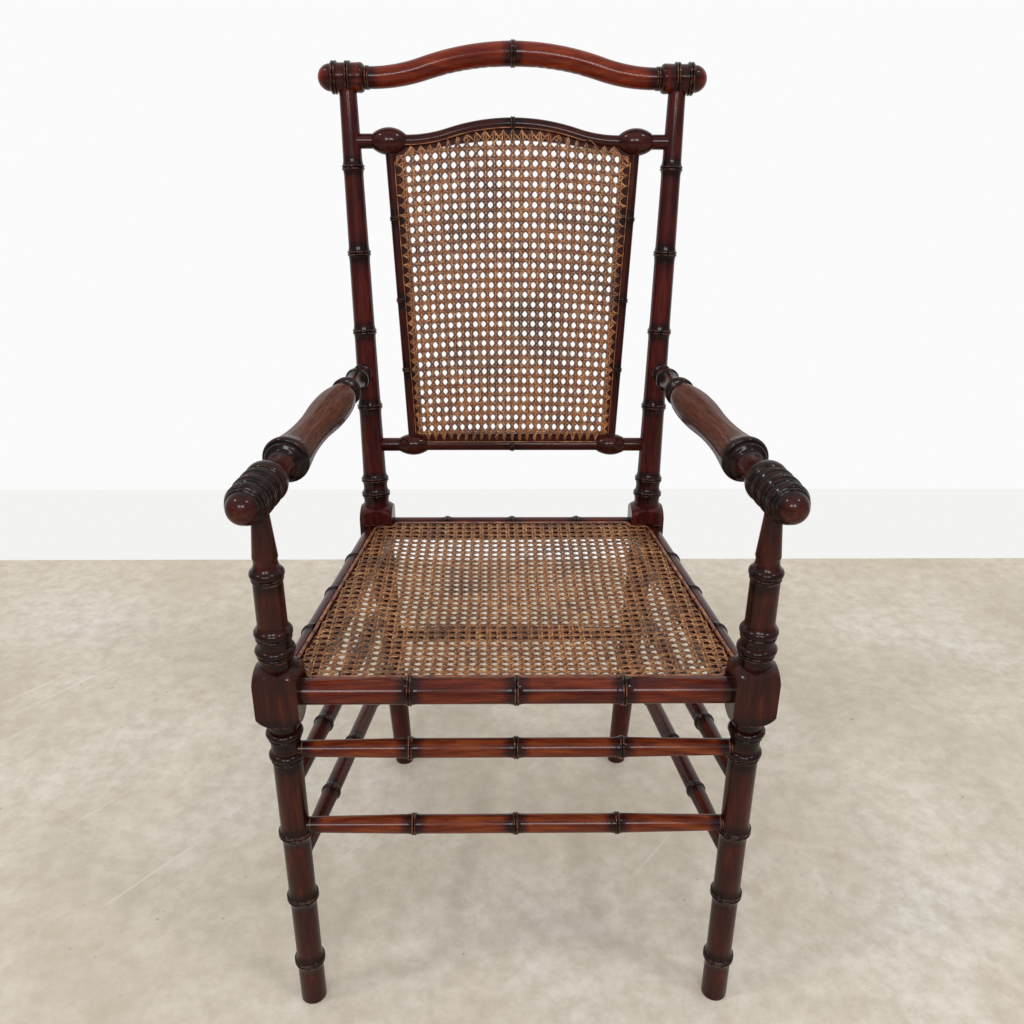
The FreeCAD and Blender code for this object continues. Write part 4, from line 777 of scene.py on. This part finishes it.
BACK_STOPS = [(0.05, "#331508"), (0.32, "#643114"), (0.62, "#9a5b2b"), (0.95, "#d39c66")]
back_material = aged_cane("aged_cane_back", BACK_STOPS, 0.6, 80)
back_sets = weave(on_back, in_back, holed, range(-12, 13), range(0, 30), 1.38 / 11.2, 1.25 / 12.6)
lay_cane("back_cane", ("upright", "crosswise", "diagonal_right", "diagonal_left"), back_sets, BACK_NORMAL,
         BACK_WIDTHS, 20, back_material)

# The back's small cane work: fine strands laid along the four rows of holes, the top one loose at its right
# end, the short runs of cane behind the frame from one hole to the next, and the cane that fills each hole.
across = np.linspace(-148.0, 92.0, 81)
along_top = lean(across, top_line(across) + 6.4, 7.5)
loose_end = lean(np.array((97.0, 101.5, 105.0, 107.5, 108.6)), np.array((506.9, 504.6, 501.0, 497.0, 492.5)),
                 np.array((7.4, 8.6, 9.4, 9.0, 7.6)))
across = np.linspace(-120.0, 120.0, 60)
rising_up = np.linspace(124.0, 480.0, 90)
beside = stile_line(rising_up) + 5.2
edging = [np.vstack([along_top, loose_end]), lean(across, np.full(60, 112.4), np.full(60, 7.3)),
          lean(beside, rising_up, np.full(90, 6.5)), lean(-beside, rising_up, np.full(90, 6.5))]
strands_object("back_edging_strands", edging, BACK_NORMAL, 1.6, 0.6, 31, back_material)


def runs_behind(holes):
    """A short run behind the frame from each hole to the next: shares of the way, and depths behind."""
    share = np.array((0.0, 0.12, 0.5, 0.88, 1.0))[None, :, None]
    back = np.array((-7.0, -9.9, -10.2, -9.9, -7.0))[None, :, None]
    return holes[:-1, None] * (1 - share) + holes[1:, None] * share + back * np.array(BACK_NORMAL)


strands_object("back_rear_runs", np.concatenate([runs_behind(row) for row in back_rows]),
               tuple(-np.array(BACK_NORMAL)), 2.0, 0.7, 32, back_material)


def plugs(name, holes, normal, radius, length, material):
    """Short eight-sided plugs with low domes: at each hole p, rings p + r * (cos, sin) + b * normal."""
    normal = np.array(normal)
    side = np.cross(normal, (1.0, 0, 0))
    side /= np.linalg.norm(side)
    turn = np.arange(8) * math.pi / 4
    ring = np.cos(turn)[:, None] * np.array((1.0, 0, 0)) + np.sin(turn)[:, None] * side
    rings = np.array([(0.6, 0.0), (1.0, -0.3), (1.0, 0.3 - length), (0.6, -length)])
    points = holes[:, None, None] + radius * rings[:, 0, None, None] * ring + rings[:, 1, None, None] * normal
    corner = np.arange(8)
    after = (corner + 1) % 8
    ring = 8 * np.arange(3)[:, None]
    quads = np.stack([ring + corner, ring + 8 + corner, ring + 8 + after, ring + after], -1).reshape(-1, 4)
    base = 32 * np.arange(len(holes))[:, None, None]
    caps = np.stack([corner, 24 + corner[::-1]])
    faces = (base + quads).reshape(-1, 4).tolist() + (base + caps).reshape(-1, 8).tolist()
    mesh = bpy.data.meshes.new(name)
    mesh.from_pydata(points.reshape(-1, 3) * MM, [], faces)
    mesh.uv_layers.new(name="along")
    tone = mesh.attributes.new("tone", "FLOAT", "POINT")
    tone.data.foreach_set("value", np.repeat(np.random.default_rng(33).uniform(0, 0.5, len(holes)), 32))
    return chair_piece(name, mesh, material)


plug_tops = np.concatenate(back_rows) - 0.8 * np.array(BACK_NORMAL)
plugs("back_hole_plugs", plug_tops, BACK_NORMAL, 1.55, 8.2, back_material)

# The camera: a wide lens held a metre up and a metre in front of the chair's middle, tilted well down. Its
# place, turn and lens were fitted to joints, blocks and feet that match on the chair's two sides.
CAMERA_PLACE = Vector((-0.0169, -1.06023, 1.0112))
yaw, pitch, roll = (math.radians(angle) for angle in (0.79, 23.82, 0.24))
forward = Vector((math.sin(yaw) * math.cos(pitch), math.cos(yaw) * math.cos(pitch), -math.sin(pitch)))
right = Vector((math.cos(yaw), -math.sin(yaw), 0))
upward = right.cross(forward)
tilted_right = right * math.cos(roll) + upward * math.sin(roll)
tilted_up = upward * math.cos(roll) - right * math.sin(roll)
lens = bpy.data.cameras.new("photo_camera")
lens.lens = 33.29
lens.sensor_width = 36.0
lens.clip_start = 0.05
lens.clip_end = 50.0
camera = bpy.data.objects.new("photo_camera", lens)
turned = Matrix((tilted_right, tilted_up, -forward)).transposed().to_4x4()
camera.matrix_world = Matrix.Translation(CAMERA_PLACE) @ turned
bpy.context.scene.collection.objects.link(camera)
bpy.context.scene.camera = camera

# The room: a pale smooth concrete floor that ends at a white skirting board, before a white wall that the
# camera sees as the white of the world. None of it is part of the chair.
REACH = 5                       # metres from the middle to the floor's edges
WALL = 0.953
SKIRTING = 0.18


def stage_plane(name, corners, material):
    """One flat four-sided face that belongs to the room."""
    mesh = bpy.data.meshes.new(name)
    mesh.from_pydata(corners, [], [(0, 1, 2, 3)])
    mesh.materials.append(material)
    plane = bpy.data.objects.new(name, mesh)
    bpy.context.scene.collection.objects.link(plane)


def seen_directly(tree, mirrored=1.0):
    """One where the ray comes from the camera or through a clear surface, and mirrored off a glossy one."""
    camera_ray = add(tree, "ShaderNodeLightPath", {}, out="Is Camera Ray")
    rays = camera_ray.node.outputs
    gloss = add(tree, "ShaderNodeMath", {0: rays["Is Glossy Ray"], 1: mirrored}, operation="MULTIPLY")
    seen = add(tree, "ShaderNodeMath", {0: camera_ray, 1: gloss}, operation="MAXIMUM")
    return add(tree, "ShaderNodeMath", {0: seen, 1: rays["Is Transmission Ray"]}, operation="MAXIMUM")


# Smooth concrete: pale grey-brown, in clouds 400 mm across and mottles of 30 mm, with long pale scratches,
# rusty stains and a few dark specks
concrete, tree = blank_material("pale_concrete")
place = add(tree, "ShaderNodeTexCoord", {}, out="Object")
clouds = add(tree, "ShaderNodeTexNoise", {"Vector": place, "Scale": 1 / 0.4, "Detail": 8.0,
                                          "Roughness": 0.62})
colour = ramp(tree, clouds, [(0.30, "#c9beac"), (0.50, "#dad0c1"), (0.70, "#e7e0d6")])
mottle = add(tree, "ShaderNodeTexNoise", {"Vector": place, "Scale": 1 / 0.03, "Detail": 6.0,
                                          "Roughness": 0.7})
colour = laid_over(tree, colour, mottle, 0.38, 0.62, 0.55, "#bcb09c")
combed = add(tree, "ShaderNodeMapping", {"Vector": place, "Rotation": (0, 0, 0.9), "Scale": (0.5, 0.012, 1)},
             vector_type="TEXTURE")
scratch = add(tree, "ShaderNodeTexNoise", {"Vector": combed, "Scale": 1.0, "Detail": 1.0})
colour = laid_over(tree, colour, scratch, 0.72, 0.78, 0.35, "#f0ebe2")
blots = add(tree, "ShaderNodeTexNoise", {"Vector": place, "Scale": 1 / 0.23, "Detail": 5.0, "Roughness": 0.7,
                                         "Distortion": 1.5})
colour = laid_over(tree, colour, blots, 0.6, 0.78, 0.45, "#b39c80")
specks = add(tree, "ShaderNodeTexNoise", {"Vector": place, "Scale": 1 / 0.012, "Detail": 2.0})
colour = laid_over(tree, colour, specks, 0.735, 0.76, 0.5, "#7d6f5e")
matt = add(tree, "ShaderNodeBsdfPrincipled", {"Base Color": colour, "Roughness": 0.6,
                                              "Specular IOR Level": 0.3})
add(tree, "ShaderNodeOutputMaterial", {"Surface": matt})
stage_plane("floor", [(-REACH, -REACH, 0), (REACH, -REACH, 0), (REACH, WALL, 0), (-REACH, WALL, 0)], concrete)

white, tree = blank_material("white_paint")
paint = add(tree, "ShaderNodeBsdfPrincipled", {"Base Color": srgb("#f0f0ee"), "Roughness": 0.6})
bright = add(tree, "ShaderNodeEmission", {"Color": srgb("#f3f3f2"), "Strength": 1.0})
mixed = add(tree, "ShaderNodeMixShader", {0: seen_directly(tree), 1: paint, 2: bright})
add(tree, "ShaderNodeOutputMaterial", {"Surface": mixed})
stage_plane("skirting_board", [(-REACH, WALL, 0), (REACH, WALL, 0), (REACH, WALL, SKIRTING),
                               (-REACH, WALL, SKIRTING)], white)

# The light: the white wall behind and a dimmer room in front, with two soft lamps overhead, and two windows
# behind the camera that draw long soft lights on the polished wood.
world = bpy.data.worlds.new("white_room")
world.use_nodes = True
tree = world.node_tree
tree.nodes.clear()
toward = add(tree, "ShaderNodeTexCoord", {}, out="Generated")
height = add(tree, "ShaderNodeSeparateXYZ", {0: toward}, out="Z")
dimmer = add(tree, "ShaderNodeMapRange", {"Value": height, "From Min": -0.1, "From Max": 1.0,
                                          "To Min": 0.25, "To Max": 0.82})
toward = add(tree, "ShaderNodeSeparateXYZ", {0: toward}, out="Y")
toward = add(tree, "ShaderNodeMapRange", {"Value": toward, "From Min": 0.15, "From Max": 0.5,
                                          "To Min": 0.0, "To Max": 1.0})
strength = add(tree, "ShaderNodeMix", {0: seen_directly(tree, toward), 2: dimmer, 3: 1.0}, data_type="FLOAT")
white_room = add(tree, "ShaderNodeBackground", {"Color": srgb("#fbfbfb"), "Strength": strength})
add(tree, "ShaderNodeOutputWorld", {"Surface": white_room})
bpy.context.scene.world = world
bpy.context.scene.view_settings.view_transform = "Standard"
OVERHEAD = {"angle": math.radians(7), "energy": 0.38}
WINDOW = {"shape": "RECTANGLE", "size": 1.0, "size_y": 0.8, "energy": 34.0}
for name, kind, place, aim, settings in (
        ("lamp_overhead_left", "SUN", (-1.8, -0.6, 2.4), (0, 0, 0), OVERHEAD),
        ("lamp_overhead_right", "SUN", (1.5, -0.9, 2.46), (0, 0, 0), OVERHEAD),
        ("window_left", "AREA", (-0.95, -3.5, 2.6), (0, 0, 0.5), WINDOW),
        ("window_right", "AREA", (0.5, -3.5, 2.6), (0, 0, 0.5), WINDOW)):
    lamp = bpy.data.lights.new(name, kind)
    for setting, value in settings.items():
        setattr(lamp, setting, value)
    lamp_object = bpy.data.objects.new(name, lamp)
    lamp_object.location = place
    lamp_object.rotation_euler = (Vector(aim) - Vector(place)).to_track_quat("-Z", "Y").to_euler()
    bpy.context.scene.collection.objects.link(lamp_object)
